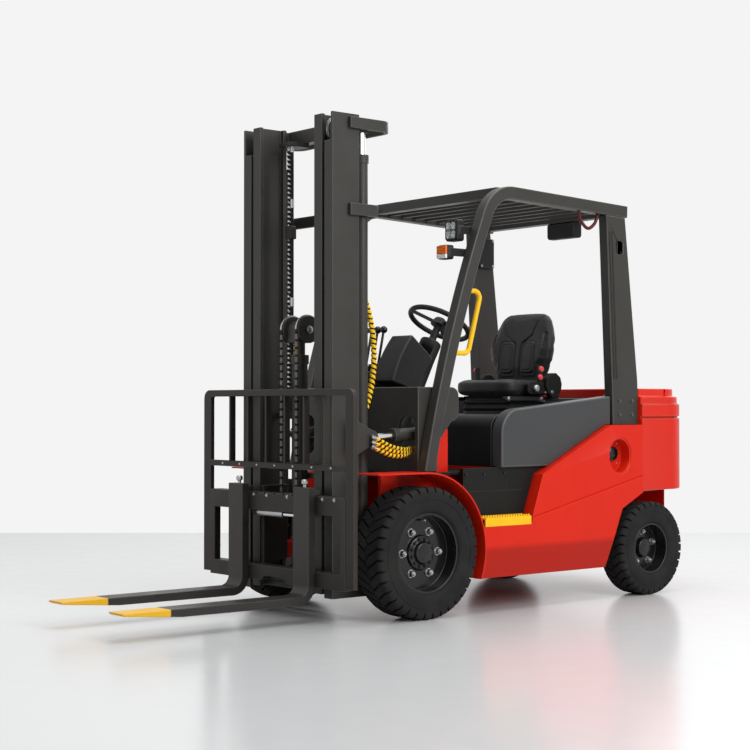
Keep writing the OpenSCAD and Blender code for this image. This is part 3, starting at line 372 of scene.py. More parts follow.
    def worn(self, light: float = 0.5) -> Finish:
        """The same finish for rounded edges: smoother, with its colour lightened as a painted highlight.

        Args:
            light: Share by which the colour moves towards pale grey.

        Returns:
            The edge's finish.
        """
        digits = self.colour.lstrip("#")
        tones = [int(digits[i : i + 2], 16) for i in (0, 2, 4)]
        lighter = [round(tone + (150 - tone) * light * 0.5) if tone < 150 else tone for tone in tones]
        code = "#" + "".join(f"{tone:02x}" for tone in lighter)
        return replace(self, name=self.name + "_edge", colour=code, rough=max(0.15, self.rough - 0.1))


@dataclass(frozen=True)
class TippedFinish(Finish):
    """Fork paint whose last stretch towards the tip is yellow, with a 4 mm blend at the border.

    Attributes:
        tip_from_m: X at which the yellow starts.
        tip_colour: sRGB hex of the yellow.
    """

    tip_from_m: float = 0.0
    tip_colour: str = "#e2ae1e"

    def paint(
        self, tree: bpy.types.NodeTree, place: bpy.types.NodeSocket, cloud: bpy.types.NodeSocket
    ) -> bpy.types.NodeSocket:
        """Dark paint, and yellow beyond tip_from_m along X.

        Args:
            tree: Node tree of the material.
            place: Object coordinates.
            cloud: Slow cloud pattern from 0 to 1.

        Returns:
            The colour's output.
        """
        dark = super().paint(tree, place, cloud)
        along = add(tree, "ShaderNodeSeparateXYZ", links={"Vector": place}).outputs["X"]
        tip = add(
            tree,
            "ShaderNodeMapRange",
            {"From Min": self.tip_from_m, "From Max": self.tip_from_m + 0.004},
            {"Value": along},
        )
        return self.over(tree, dark, tip.outputs["Result"], linear(self.tip_colour))


# Baked enamel on sheet steel and casting: a deep colour under a gloss skin with a
# faint orange-peel ripple.
RED_ENAMEL = Finish(
    "red_baked_enamel", "#d0230f", 0.32, 7.0, 0.04, coat=0.05, specular=0.15, drift=0.03, smudge=0.04
)
# The same enamel on the side tanks, with a painted shade that darkens the lowest third.
TANK_ENAMEL = replace(RED_ENAMEL, name="red_baked_enamel_with_painted_low_shade", painted_shade_m=0.335)
# Powder coat on the mast, guard and cowl: satin, with a tight even pebble.
CHARCOAL_COAT = Finish("charcoal_powder_coat", "#343330", 0.4, 1.6, 0.05, specular=0.24, drift=0.06)
# The same coat, darker and browner, on the carriage and its rails.
CARRIAGE_COAT = Finish("dark_carriage_coat", "#2b2724", 0.45, 2.0, 0.06, specular=0.22, drift=0.08)
# Thin mill paint over forged forks, rubbed along the blade.
FORK_COAT = TippedFinish("dark_fork_paint", "#2a2724", 0.4, 2.5, 0.06, specular=0.3, drift=0.1)
# Stoved black enamel on pressed rims: a deep gloss.
BLACK_GLOSS = Finish("black_rim_enamel", "#151515", 0.24, 5.0, 0.03, coat=0.3, specular=0.2)
# Yellow gloss paint on the grab handle and the steps: a warm, even colour with a soft shine.
YELLOW_PAINT = Finish("yellow_safety_paint", "#f0bb12", 0.42, 3.0, 0.05, specular=0.25, drift=0.05)
# Moulded plastic: fine spark-eroded texture, matt.
BLACK_ABS = Finish("black_moulded_abs", "#161617", 0.55, 0.9, 0.06, specular=0.25)
# The same moulding in a lighter grey, on the hood and its flanks.
GREY_ABS = Finish("grey_moulded_abs", "#3e3f40", 0.5, 0.9, 0.06, specular=0.22)
# Larger dark panels, a little smoother from the mould.
PANEL_ABS = Finish("dark_grey_panel_abs", "#191918", 0.5, 1.2, 0.05, specular=0.13)
# Tyre rubber: dull, faintly dusty, with a rough mould skin.
TYRE_RUBBER = Finish(
    "moulded_tyre_rubber", "#212121", 0.8, 4.0, 0.2, specular=0.12, dust=0.04, drift=0.12
)
# Ribbed rubber underfoot: the same dull black, dustier.
FLOOR_MAT = Finish("ribbed_floor_rubber", "#141414", 0.85, 3.0, 0.2, specular=0.12, dust=0.08)
# Ground and plated rods: mirror bright with faint drawing lines.
CHROME = Finish(
    "hard_chrome", "#d4d5d6", 0.14, 0.6, 0.004, 1.0, 0.5, drift=0.03, smudge=0.03, grain=Grain.BRUSHED
)
# Zinc plate on bolts, pins and fittings: a pale satin metal, clouded by handling.
ZINC = Finish("zinc_plated_steel", "#a9aaab", 0.34, 1.5, 0.02, 1.0, 0.5, drift=0.1)
# Rolled chain leaves under a film of oil: a patchy grey metal.
CHAIN_STEEL = Finish("oiled_chain_steel", "#9b9a97", 0.34, 1.5, 0.03, 1.0, 0.5, drift=0.2)
# The inner leaves, set in between the outer ones: almost black, a painted shade.
CHAIN_SHADE = Finish("chain_steel_in_painted_shade", "#1b1a19", 0.5, 1.5, 0.03, specular=0.3, drift=0.2)
# Thin paint over rough cast iron on axles and hubs: dull and uneven.
AXLE_PAINT = Finish("axle_paint_on_iron", "#202123", 0.6, 2.0, 0.12, specular=0.2, drift=0.12)
# Embossed vinyl over foam: small leather cells and a soft sheen.
SEAT_VINYL = Finish(
    "black_seat_vinyl", "#1c1c1d", 0.5, 3.2, 0.1, specular=0.25, sheen=0.06, drift=0.04, grain=Grain.LEATHER
)
# Clear lens plastic in front of plated reflectors.
CLEAR_LENS = Finish("clear_polycarbonate", "#eef1f2", 0.06, 8.0, 0.02, specular=0.5, drift=0.01, clear=0.9)
# Vacuum-plated bowl behind the lens: bright, not quite a mirror.
REFLECTOR = Finish("plated_reflector", "#f1f2f3", 0.22, 3.0, 0.01, 0.55, 0.5, drift=0.02, smudge=0.03)
# Moulded acrylic lens of the turn lamps: glossy, coloured through.
AMBER_LENS = Finish("amber_acrylic", "#e8700a", 0.18, 6.0, 0.03, specular=0.4, coat=0.2, drift=0.04)
# Milky acrylic of the diodes and the turn lamps' strip: pale, with no sharp reflection.
WHITE_LENS = Finish("frosted_white_acrylic", "#e9e7e1", 0.3, 6.0, 0.03, specular=0.4, drift=0.02)
# Spiral-cut nylon guard over hydraulic hose: satin yellow, the black rubber showing between.
HOSE_YELLOW = Finish("yellow_spiral_hose_guard", "#efc01c", 0.5, 2.0, 0.05, specular=0.25)
# Extruded rubber hose: dull black.
HOSE_BLACK = Finish("black_hydraulic_hose", "#131313", 0.62, 1.2, 0.06, specular=0.2)
# Braided sleeve over cable: a dull dark red.
RED_CORD = Finish("dark_red_cable_sleeve", "#58201f", 0.55, 1.0, 0.04, specular=0.25)
# Moulded push button of the belt: bright and smooth.
RED_BUTTON = Finish("red_moulded_abs", "#d3494f", 0.35, 0.9, 0.03, specular=0.35)


class Plane(Enum):
    """Planes in which an outline is drawn, as places of its two axes and its pull."""

    SIDE = (0, 2, 1)
    FRONT = (1, 2, 0)
    PLAN = (0, 1, 2)


@dataclass
class Form:
    """Points and faces of one or more closed shells, in millimetres from the front axle.

    Attributes:
        points: Array of shape (n, 3).
        faces: Arrays of point numbers, each of shape (count, corners).
    """

    points: Array
    faces: list[Array]

    @classmethod
    def grid(cls, points: Array, ring: bool = False, caps: bool = True) -> Form:
        """A surface over a grid of points whose rows are closed rings.

        Point (i, j) joins (i + 1, j) and (i, j + 1), counted round along j, and also
        along i where ring is set.  Otherwise one flat face closes each end.

        Args:
            points: Array of shape (rows, columns, 3).
            ring: Whether the last row joins the first.
            caps: Whether open ends get a flat face.

        Returns:
            The form.
        """
        rows, columns = points.shape[:2]
        number = np.arange(rows * columns).reshape(rows, columns)
        beside = np.roll(number, -1, axis=1)
        here, there = (number, np.roll(number, -1, axis=0)) if ring else (number[:-1], number[1:])
        here_beside, there_beside = (
            (beside, np.roll(beside, -1, axis=0)) if ring else (beside[:-1], beside[1:])
        )
        quads = np.stack([here, here_beside, there_beside, there], axis=-1).reshape(-1, 4)
        faces = [quads]
        if caps and not ring:
            faces += [number[:1, ::-1], number[-1:]]
        return cls(points.reshape(-1, 3), faces)

    @classmethod
    def turned(
        cls,
        profile: Sequence[Sequence[float]],
        centre: Sequence[float],
        axis: Sequence[float] = (0.0, 1.0, 0.0),
        sides: int = 48,
        ring: bool = False,
    ) -> Form:
        """A profile of radius and height carried round an axis.

        Point = centre + height * axis + radius * (cos a * e1 + sin a * e2).

        Args:
            profile: Pairs of radius and height along the axis.
            centre: Point on the axis at height 0.
            axis: Direction of the axis.
            sides: Number of steps round.
            ring: Whether the profile is a closed loop.

        Returns:
            The form.
        """
        along = np.asarray(axis, float) / np.linalg.norm(axis)
        helper = np.array([1.0, 0.0, 0.0]) if abs(along[0]) < 0.9 else np.array([0.0, 0.0, 1.0])
        e1 = np.cross(along, helper)
        e1 /= np.linalg.norm(e1)
        e2 = np.cross(along, e1)
        angle = np.linspace(0.0, 2 * np.pi, sides, endpoint=False)
        spokes = np.cos(angle)[:, None] * e1 + np.sin(angle)[:, None] * e2
        pairs = np.asarray(profile, float)
        points = (
            np.asarray(centre, float)
            + pairs[:, 1, None, None] * along
            + np.maximum(pairs[:, 0], 0.0)[:, None, None] * spokes
        )
        return cls.grid(points, ring=ring)

    @classmethod
    def swept(cls, path: Array, section: Array, up: Sequence[float] = (0.0, 1.0, 0.0)) -> Form:
        """A section carried along a path, square to it.

        Point = path + a * side + b * top, where side = up x tangent and top = tangent x side.

        Args:
            path: Array of shape (m, 3).
            section: Array of shape (n, 2), or (m, n, 2) where it changes along the path.
            up: Direction that the path never runs along.

        Returns:
            The form, closed by a flat face at each end.
        """
        tangent = np.gradient(path, axis=0)
        tangent /= np.linalg.norm(tangent, axis=1, keepdims=True)
        side = np.cross(np.asarray(up, float), tangent)
        side /= np.linalg.norm(side, axis=1, keepdims=True)
        top = np.cross(tangent, side)
        flat = section if section.ndim == 3 else np.broadcast_to(section, (len(path), *section.shape))
        points = path[:, None] + flat[..., 0:1] * side[:, None] + flat[..., 1:2] * top[:, None]
        return cls.grid(points)

    @classmethod
    def slab(cls, outline: Array, low: float, high: float, plane: Plane) -> Form:
        """An outline pulled between two positions square to its plane.

        Args:
            outline: Array of shape (n, 2).
            low: First position along the pull.
            high: Second position along the pull.
            plane: Plane of the outline.

        Returns:
            The form.
        """
        first, second, pull = plane.value
        points = np.zeros((2, len(outline), 3))
        points[..., first] = outline[:, 0]
        points[..., second] = outline[:, 1]
        points[..., pull] = np.array([[low], [high]])
        return cls.grid(points)

    def copies(self, offsets: Sequence[Sequence[float]]) -> Form:
        """The form repeated at each offset, as one form.

        Args:
            offsets: Array of shape (c, 3).

        Returns:
            All copies together.
        """
        places = np.asarray(offsets, float).reshape(-1, 3)
        points = (self.points[None] + places[:, None]).reshape(-1, 3)
        step = np.arange(len(places)) * len(self.points)
        faces = [(f[None] + step[:, None, None]).reshape(-1, f.shape[1]) for f in self.faces]
        return Form(points, faces)

    def turned_copies(self, angles: Array, centre: Sequence[float], axis: int = 1) -> Form:
        """The form repeated at angles about a main axis through a centre.

        Args:
            angles: Angles in radians.
            centre: Point on the axis.
            axis: 0, 1 or 2 for X, Y or Z.

        Returns:
            All copies together.
        """
        a, b = [(1, 2), (2, 0), (0, 1)][axis]
        away = self.points - np.asarray(centre, float)
        points = np.repeat(away[None], len(angles), axis=0)
        cos, sin = np.cos(angles)[:, None], np.sin(angles)[:, None]
        points[..., a] = cos * away[:, a] - sin * away[:, b]
        points[..., b] = sin * away[:, a] + cos * away[:, b]
        step = np.arange(len(angles)) * len(self.points)
        faces = [(f[None] + step[:, None, None]).reshape(-1, f.shape[1]) for f in self.faces]
        return Form((points + np.asarray(centre, float)).reshape(-1, 3), faces)

    def other_side(self) -> Form:
        """The mirror image on the other side of the truck."""
        return Form(self.points * np.array([1.0, -1.0, 1.0]), [f[:, ::-1] for f in self.faces])

    def both(self) -> Form:
        """The form and its mirror image on the other side of the truck."""
        return self + self.other_side()

    def __add__(self, other: Form) -> Form:
        """Two forms as one."""
        shift = len(self.points)
        return Form(np.vstack([self.points, other.points]), self.faces + [f + shift for f in other.faces])


def ring(radius: float, sides: int = 16) -> Array:
    """Points of a circle, as an array of shape (sides, 2)."""
    angle = np.linspace(0.0, 2 * np.pi, sides, endpoint=False)
    return radius * np.column_stack([np.cos(angle), np.sin(angle)])


def soft_rect(low: Sequence[float], high: Sequence[float], radius: float, steps: int = 5) -> Array:
    """Outline of a rectangle with round corners, a quarter circle at each.

    Args:
        low: Lower left corner.
        high: Upper right corner.
        radius: Radius of the corners.
        steps: Points on each corner.

    Returns:
        Array of shape (4 * steps, 2).
    """
    turn = np.linspace(0.0, np.pi / 2, steps)
    quarter = np.arange(4)[:, None] * np.pi / 2 + turn
    x = np.array([high[0], low[0], low[0], high[0]]) + radius * np.array([-1, 1, 1, -1])
    y = np.array([high[1], high[1], low[1], low[1]]) + radius * np.array([-1, -1, 1, 1])
    points = np.stack([x[:, None] + radius * np.cos(quarter), y[:, None] + radius * np.sin(quarter)], -1)
    return points.reshape(-1, 2)


def smooth_path(knots: Sequence[Sequence[float]], count: int) -> Array:
    """A smooth curve through knots: a Catmull-Rom cubic between each two of them.

    Args:
        knots: Points that the curve goes through.
        count: Number of points on the curve.

    Returns:
        Array of shape (count, 3).
    """
    k = np.asarray(knots, float)
    k = np.vstack([2 * k[0] - k[1], k, 2 * k[-1] - k[-2]])
    t = np.linspace(0, len(k) - 3 - 1e-9, count)
    i = t.astype(int)
    f = (t - i)[:, None]
    a, b, c, d = k[i], k[i + 1], k[i + 2], k[i + 3]
    return 0.5 * (2 * b + (c - a) * f + (2 * a - 5 * b + 4 * c - d) * f**2 + (3 * b - a - 3 * c + d) * f**3)


def ribbed(path: Array, radius: float, groove: float, pitch: float, sides: int = 16) -> tuple[Form, Array]:
    """A hose in a spiral guard: a tube whose radius dips once a pitch, along a helix.

    Radius = radius - groove * dip(length / pitch + angle), where dip is 1 on a third
    of each turn and 0 elsewhere, with short ramps.

    Args:
        path: Points along the hose.
        radius: Outside radius of the guard.
        groove: Depth of the gap between its turns.
        pitch: Distance between turns.
        sides: Steps round the hose.

    Returns:
        The form, and a slot number for each of its faces: 0 on the guard, 1 in the gap.
    """
    run = np.concatenate([[0.0], np.cumsum(np.linalg.norm(np.diff(path, axis=0), axis=1))])
    angle = np.linspace(0.0, 2 * np.pi, sides, endpoint=False)
    phase = (run[:, None] / pitch + angle / (2 * np.pi)) % 1.0
    dip = np.clip((0.21 - np.abs(phase - 0.5)) / 0.06, 0.0, 1.0)
    size = radius - groove * dip
    section = np.stack([size * np.cos(angle), size * np.sin(angle)], axis=-1)
    slots = (dip[:-1] > 0.5).astype(np.int32).reshape(-1)
    return Form.swept(path, section), np.concatenate([slots, [0, 0]])


def hex_bolt(place: Sequence[float], size: float, height: float, axis: Sequence[float]) -> Form:
    """A bolt's head on a washer: a six-sided and a round turned profile.

    Args:
        place: Middle of the washer's seat.
        size: Radius over the head's corners.
        height: Height of head and washer.
        axis: Direction that the head points in.

    Returns:
        The form.
    """
    head = [(0, 0.1), (size, 0.1), (size, height * 0.82), (size * 0.8, height), (0, height)]
    washer = [(0, 0), (size * 1.3, 0), (size * 1.3, height * 0.18), (0, height * 0.18)]
    return Form.turned(head, place, axis, 6) + Form.turned(washer, place, axis, 20)


class Shop:
    """Turns forms and copies of CAD nodes into dressed pieces of the scene."""

    def __init__(self, frame: dict[str, Any]) -> None:
        """Keeps the frame's nodes, and finds the front axle.
        """
        low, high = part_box("front_tyre_left")
        self.nodes: dict[str, bpy.types.Object] = frame["nodes"]
        self.axle_x: float = (low.x + high.x) / 2
        self.triangles = 0

    def at(self, x: float, y: float, z: float) -> tuple[float, float, float]:
        """A point in millimetres from the front axle, in the shared frame's metres."""
        return self.axle_x + x * MM, y * MM, z * MM

    def mesh(self, name: str, form: Form, slots: Array | None = None) -> bpy.types.Mesh:
        """Makes a form's mesh, merged and with its faces turned outwards.

        Args:
            name: Name of the mesh.
            form: Form in millimetres from the front axle.
            slots: Material slot of each face, where there are several.

        Returns:
            The mesh in metres, in the shared frame.
        """
        mesh = bpy.data.meshes.new(name)
        places = form.points * MM + np.array([self.axle_x, 0.0, 0.0])
        mesh.from_pydata(places.tolist(), [], [face for part in form.faces for face in part.tolist()])
        if slots is not None:
            mesh.polygons.foreach_set("material_index", np.asarray(slots, np.int32))
        shell = bmesh.new()
        shell.from_mesh(mesh)
        bmesh.ops.remove_doubles(shell, verts=shell.verts, dist=MERGE)
        bmesh.ops.recalc_face_normals(shell, faces=shell.faces)
        shell.to_mesh(mesh)
        shell.free()
        return mesh

    def put(
        self,
        mesh: bpy.types.Mesh,
        finishes: Sequence[Finish],
        body: str | None,
        stands_for: Sequence[str] = (),
        sharp_deg: float = 35.0,
    ) -> bpy.types.Object:
        """Makes an object of a mesh, with its finishes, and lets it ride on a body.

        Args:
            mesh: Mesh in the shared frame.
            finishes: Finish of each material slot.
            stands_for: CAD nodes that it replaces.
            sharp_deg: Angle over which an edge stays sharp.

        Returns:
            The object.
        """
        for finish in finishes:
            mesh.materials.append(finish.build())
        mesh.shade_smooth()
        mesh.set_sharp_from_angle(angle=math.radians(sharp_deg))
        piece = bpy.data.objects.new(mesh.name, mesh)
        bpy.context.scene.collection.objects.link(piece)
        if body is not None:
            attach(piece, body)
        if stands_for:
            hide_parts(*stands_for)
        count = len(mesh.loops) - 2 * len(mesh.polygons)
        self.triangles += count
        LOG.info("%s: %d triangles before modifiers", mesh.name, count)
        return piece

    def piece(
        self,
        name: str,
        form: Form,
        finish: Finish | Sequence[Finish],
        body: str | None,
        stands_for: Sequence[str] = (),
        bevel_mm: float = 0.0,
        sharp_deg: float = 35.0,
        slots: Array | None = None,
    ) -> bpy.types.Object:
        """Makes a new piece from a form.

        Args:
            name: Name of the piece.
            form: Its form.
            finish: Its finish, or one for each slot.
            body: Body that it moves with.
            stands_for: CAD nodes that it replaces.
            bevel_mm: Width of its rounded edges.
            sharp_deg: Angle over which an edge stays sharp or is rounded.
            slots: Material slot of each face.

        Returns:
            The object.
        """
        finishes = [finish] if isinstance(finish, Finish) else list(finish)
        piece = self.put(self.mesh(name, form, slots), finishes, body, stands_for, sharp_deg)
        if bevel_mm > 0:
            self.round_edges(piece, bevel_mm)
        return piece

    def round_edges(self, piece: bpy.types.Object, width_mm: float, slot: int = -1) -> None:
        """Adds a bevel to the edges that bend more than BEVEL_FROM_DEG.

        Args:
            piece: The object.
            width_mm: Width of the bevel.
            slot: Material slot of the bevel's faces, or -1 for the faces' own.
        """
        bevel = piece.modifiers.new("rounded_edges", "BEVEL")
        bevel.width = width_mm * MM
        bevel.segments = BEVEL_SEGMENTS
        bevel.limit_method = "ANGLE"
        bevel.angle_limit = math.radians(BEVEL_FROM_DEG)
        bevel.use_clamp_overlap = False
        bevel.harden_normals = True
        bevel.material = slot

    def rounded(self, node: str, finish: Finish, width_mm: float, worn: float = 0.5) -> bpy.types.Object:
        """Replaces a CAD node by a copy with rounded edges, lightened as a painted highlight.

        The copy's loose triangles are merged and flat ones joined before the bevel.

        Args:
            node: Name of the CAD node.
            finish: Its finish.
            width_mm: Width of its rounded edges.
            worn: How far the edges' colour moves towards pale grey, as a painted highlight.

        Returns:
            The copy.
        """
        shell = bmesh.new()
        shell.from_mesh(self.nodes[node].data)
        bmesh.ops.remove_doubles(shell, verts=shell.verts, dist=MERGE)
        flat = math.radians(FLAT_WITHIN_DEG)
        bmesh.ops.dissolve_limit(shell, angle_limit=flat, verts=shell.verts, edges=shell.edges)
        mesh = bpy.data.meshes.new(node + ".rounded")
        shell.to_mesh(mesh)
        shell.free()
        piece = self.put(mesh, [finish, finish.worn(worn)], body_of(self.nodes[node])[0], [node])
        # Slot 1 on the bevel's faces: the lighter edge finish, a painted highlight.
        self.round_edges(piece, width_mm, slot=1)
        return piece

    def dress(self, node: str, finish: Finish) -> None:
        """Gives a CAD node its finish.

        Args:
            node: Name of the CAD node.
            finish: Its finish.
        """
        slots = self.nodes[node].data.materials
        slots.clear()
        slots.append(finish.build())


@dataclass(frozen=True)
class Tyre:
    """A solid tyre with two rows of slanting lugs and a zigzag groove between them.

    Each lug of the CAD solid is cut once more across its middle, as deep as beside it.

    Attributes:
        node: CAD node that it replaces.
        body: Body that it turns with.
        x: Place of its axle along X.
        inner_y: Sideways place of its inner wall, on the left side.
        radius: Radius over the lugs.
        rim: Radius of the bore.
        width: Width over the walls.
        lugs: Lugs in a row of the CAD solid.
        side: 1 on the left, -1 on the right.
        depth: Depth of the grooves.
        twist_deg: Turn of a lug from the middle to the shoulder.
        shoulder: Width over which the tread draws in.
        zig: Sideways reach of the zigzag groove.
    """

    node: str
    body: str
    x: float
    inner_y: float
    radius: float
    rim: float
    width: float
    lugs: int
    side: int
    depth: float = 17.0
    twist_deg: float = 8.0
    shoulder: float = 24.0
    zig: float = 9.0

    def steps(self) -> Array:
        """Places round the tyre in half lug steps, close together at the grooves' edges.

        Returns:
            Array of rising places, from 0 to twice the number of lugs.
        """
        edge = np.array([-0.14, -0.112, -0.088, 0.0, 0.088, 0.112, 0.14])
        plain = np.linspace(0.2, 0.3, 3)
        step = np.concatenate([edge, plain, edge + 0.5, plain + 0.5])
        return (np.arange(2 * self.lugs)[:, None] + step).reshape(-1)

    def half_profile(self) -> tuple[Array, Array, Array, Array]:
        """Half of the cross-section, from the middle of the tread to the bore.

        Returns:
            Distance from the middle, radius, share of the groove's depth in the lug
            rows, and share of the middle groove's depth, each along the profile.
        """
        r, flat, half = self.radius, self.width / 2 - self.shoulder, self.width / 2
        turn = np.radians([15, 35, 55, 75, 90])
        tread = np.array([0.0, 2.6, 4.4, 8.0, 0.35 * flat, 0.6 * flat, 0.85 * flat, flat])
        low = r * 0.93
        wall = np.array([0.14, 0.33, 0.35, 0.40, 0.42, 0.72, 1.0])
        wall_r = low + (self.rim + 16 - low) * wall
        wall_out = np.array([0.0, 0.0, 2.2, 2.2, 0.0, 1.2, 0.0])
        bead = [half - 4, half - 12]
        away = np.concatenate([tread, flat + self.shoulder * np.sin(turn), half + wall_out, bead])
        size = np.concatenate(
            [np.full(8, r), low + (r - low) * np.cos(turn), wall_r, [self.rim + 6, self.rim + 0.1]]
        )
        rows = np.concatenate([[0, 0, 0], np.ones(5), np.ones(5), [0.5], np.zeros(8)])
        middle = np.concatenate([[1.0, 1.0], np.zeros(len(away) - 2)])
        return away, size, rows, middle

    def form(self) -> Form:
        """The whole tyre: rings of its cross-section, each turned by its place in the lug step.

        Radius = profile - depth * (lug groove or middle groove); sideways = distance from
        the middle + zig * triangle wave, which fades out towards the shoulder; angle = half
        lug step - twist * distance from the middle.

        Returns:
            The closed form.
        """
        away, size, rows, middle = self.half_profile()
        sign = np.concatenate([np.ones(len(away)), -np.ones(len(away) - 1)])
        order = np.concatenate([np.arange(len(away)), np.arange(len(away) - 1, 0, -1)])
        u = self.steps()[:, None]
        groove = np.abs((u - np.where(sign > 0, 0.0, 0.5) + 0.5) % 1.0 - 0.5)
        cut = np.clip((0.112 - groove) / 0.024, 0.0, 1.0) * rows[order]
        deep = np.maximum(cut * self.depth, middle[order] * self.depth * 0.6)
        wave = 1.0 - 4.0 * np.abs((u + 0.5) % 1.0 - 0.5)
        flat = self.width / 2 - self.shoulder
        fade = np.clip(1.15 - away[order] / (0.85 * flat), 0.0, 1.0)
        across = sign * away[order] + self.zig * wave * fade
        turn = np.pi / self.lugs * (u - 0.12)
        turn = turn - math.radians(self.twist_deg) * np.clip(away[order] / flat, 0.0, 1.0)
        turn = turn + math.radians(90 + self.twist_deg - 0.78 * 360 / self.lugs)
        reach = size[order] - deep
        points = np.stack(
            [
                self.x + reach * np.cos(turn),
                self.side * (self.inner_y + self.width / 2 + across),
                self.radius - reach * np.sin(turn),
            ],
            axis=-1,
        )
        return Form.grid(points, ring=True)


@dataclass(frozen=True)
class Wheels:
    """Four tyres, and rims with plated nuts, hub bolts and a valve.

    Attributes:
        wheelbase: Distance between the axles.
        front_radius: Radius of a front tyre.
        rear_radius: Radius of a rear tyre.
        front_in: Sideways place of a front tyre's inner wall.
        rear_in: Sideways place of a rear tyre's inner wall.
    """

    wheelbase: float = 1632.0
    front_radius: float = 321.0
    rear_radius: float = 254.0
    front_in: float = 418.0
    rear_in: float = 463.0

    def build(self, shop: Shop) -> None:
        """Makes and dresses all four wheels.

        Args:
            shop: Maker of pieces.
        """
        for name, side in (("left", 1), ("right", -1)):
            self.front(shop, name, side)
            self.rear(shop, name, side)
            shop.rounded("knuckle_" + name, AXLE_PAINT, 2.0)

    def tyre(self, shop: Shop, tyre: Tyre) -> None:
        """Puts one tyre in place of its CAD node."""
        shop.piece(tyre.node + ".lugged", tyre.form(), TYRE_RUBBER, tyre.body, [tyre.node], sharp_deg=32)

    def front(self, shop: Shop, name: str, side: int) -> None:
        """One front wheel with six nuts, a ring of hub bolts and a valve.

        Args:
            shop: Maker of pieces.
            name: left or right.
            side: 1 on the left, -1 on the right.
        """
        node, rim = f"front_tyre_{name}", f"front_rim_{name}"
        body = body_of(shop.nodes[node])[0]
        self.tyre(shop, Tyre(node, body, 0.0, self.front_in, self.front_radius, 197, 205, 18, side))
        shop.rounded(rim, BLACK_GLOSS, 2.5, 0.3)
        centre = (0.0, 0.0, self.front_radius)
        nut = self.nut(self.front_in + 127, 114.7, self.front_radius, 17.0, 22.0)
        bolt = hex_bolt((0.0, self.front_in + 145.5, self.front_radius + 68), 7.0, 8.0, (0, 1, 0))
        nuts = nut.turned_copies(np.radians(60 * np.arange(6) + 30), centre)
        bolts = bolt.turned_copies(np.radians(30 * np.arange(12) + 15), centre)
        stem = [(0, 0), (6, 0), (6, 26), (4, 28), (4, 40), (0, 41)]
        valve = Form.turned(stem, (0.0, self.front_in + 128, self.front_radius + 158))
        fittings = nuts + valve
        shop.piece(f"front_nuts_{name}", fittings if side > 0 else fittings.other_side(), ZINC, body)
        shop.piece(f"hub_bolts_{name}", bolts if side > 0 else bolts.other_side(), AXLE_PAINT, body)

    def rear(self, shop: Shop, name: str, side: int) -> None:
        """One rear wheel with five nuts.

        Args:
            shop: Maker of pieces.
            name: left or right.
            side: 1 on the left, -1 on the right.
        """
        node, rim = f"rear_tyre_{name}", f"rear_rim_{name}"
        body = body_of(shop.nodes[node])[0]
        x = -self.wheelbase
        self.tyre(shop, Tyre(node, body, x, self.rear_in, self.rear_radius, 138, 160, 16, side))
        shop.rounded(rim, BLACK_GLOSS, 2.5, 0.3)
        nut = self.nut(self.rear_in + 80, 88.3, self.rear_radius, 15.0, 18.0)
        nuts = nut.turned_copies(np.radians(72 * np.arange(5)), (0.0, 0.0, self.rear_radius))
        nuts = nuts.copies([[x, 0, 0]])
        shop.piece(f"rear_nuts_{name}", nuts if side > 0 else nuts.other_side(), ZINC, body)

    def nut(self, y: float, ring_r: float, axle_z: float, size: float, height: float) -> Form:
        """A wheel nut with its stud and a coned washer, at the top of its circle.

        Args:
            y: Sideways place of its seat.
            ring_r: Radius of the circle of nuts.
            axle_z: Height of the axle.
            size: Radius over the nut's corners.
            height: Height of the nut.

        Returns:
            The form.
        """
        seat = (0.0, y, axle_z + ring_r)
        flats = [(0, 0), (size, 0), (size, height * 0.8), (size * 0.82, height), (0, height)]
        cone = [(0, -6), (size * 1.35, -6), (size * 1.2, 2), (0, 2)]
        end = height + 8
        stud = [(0, 1), (size * 0.5, 1), (size * 0.5, end - 2), (size * 0.4, end), (0, end)]
        return (
            Form.turned(flats, seat, sides=6)
            + Form.turned(cone, seat, sides=24)
            + Form.turned(stud, seat, sides=16)
        )


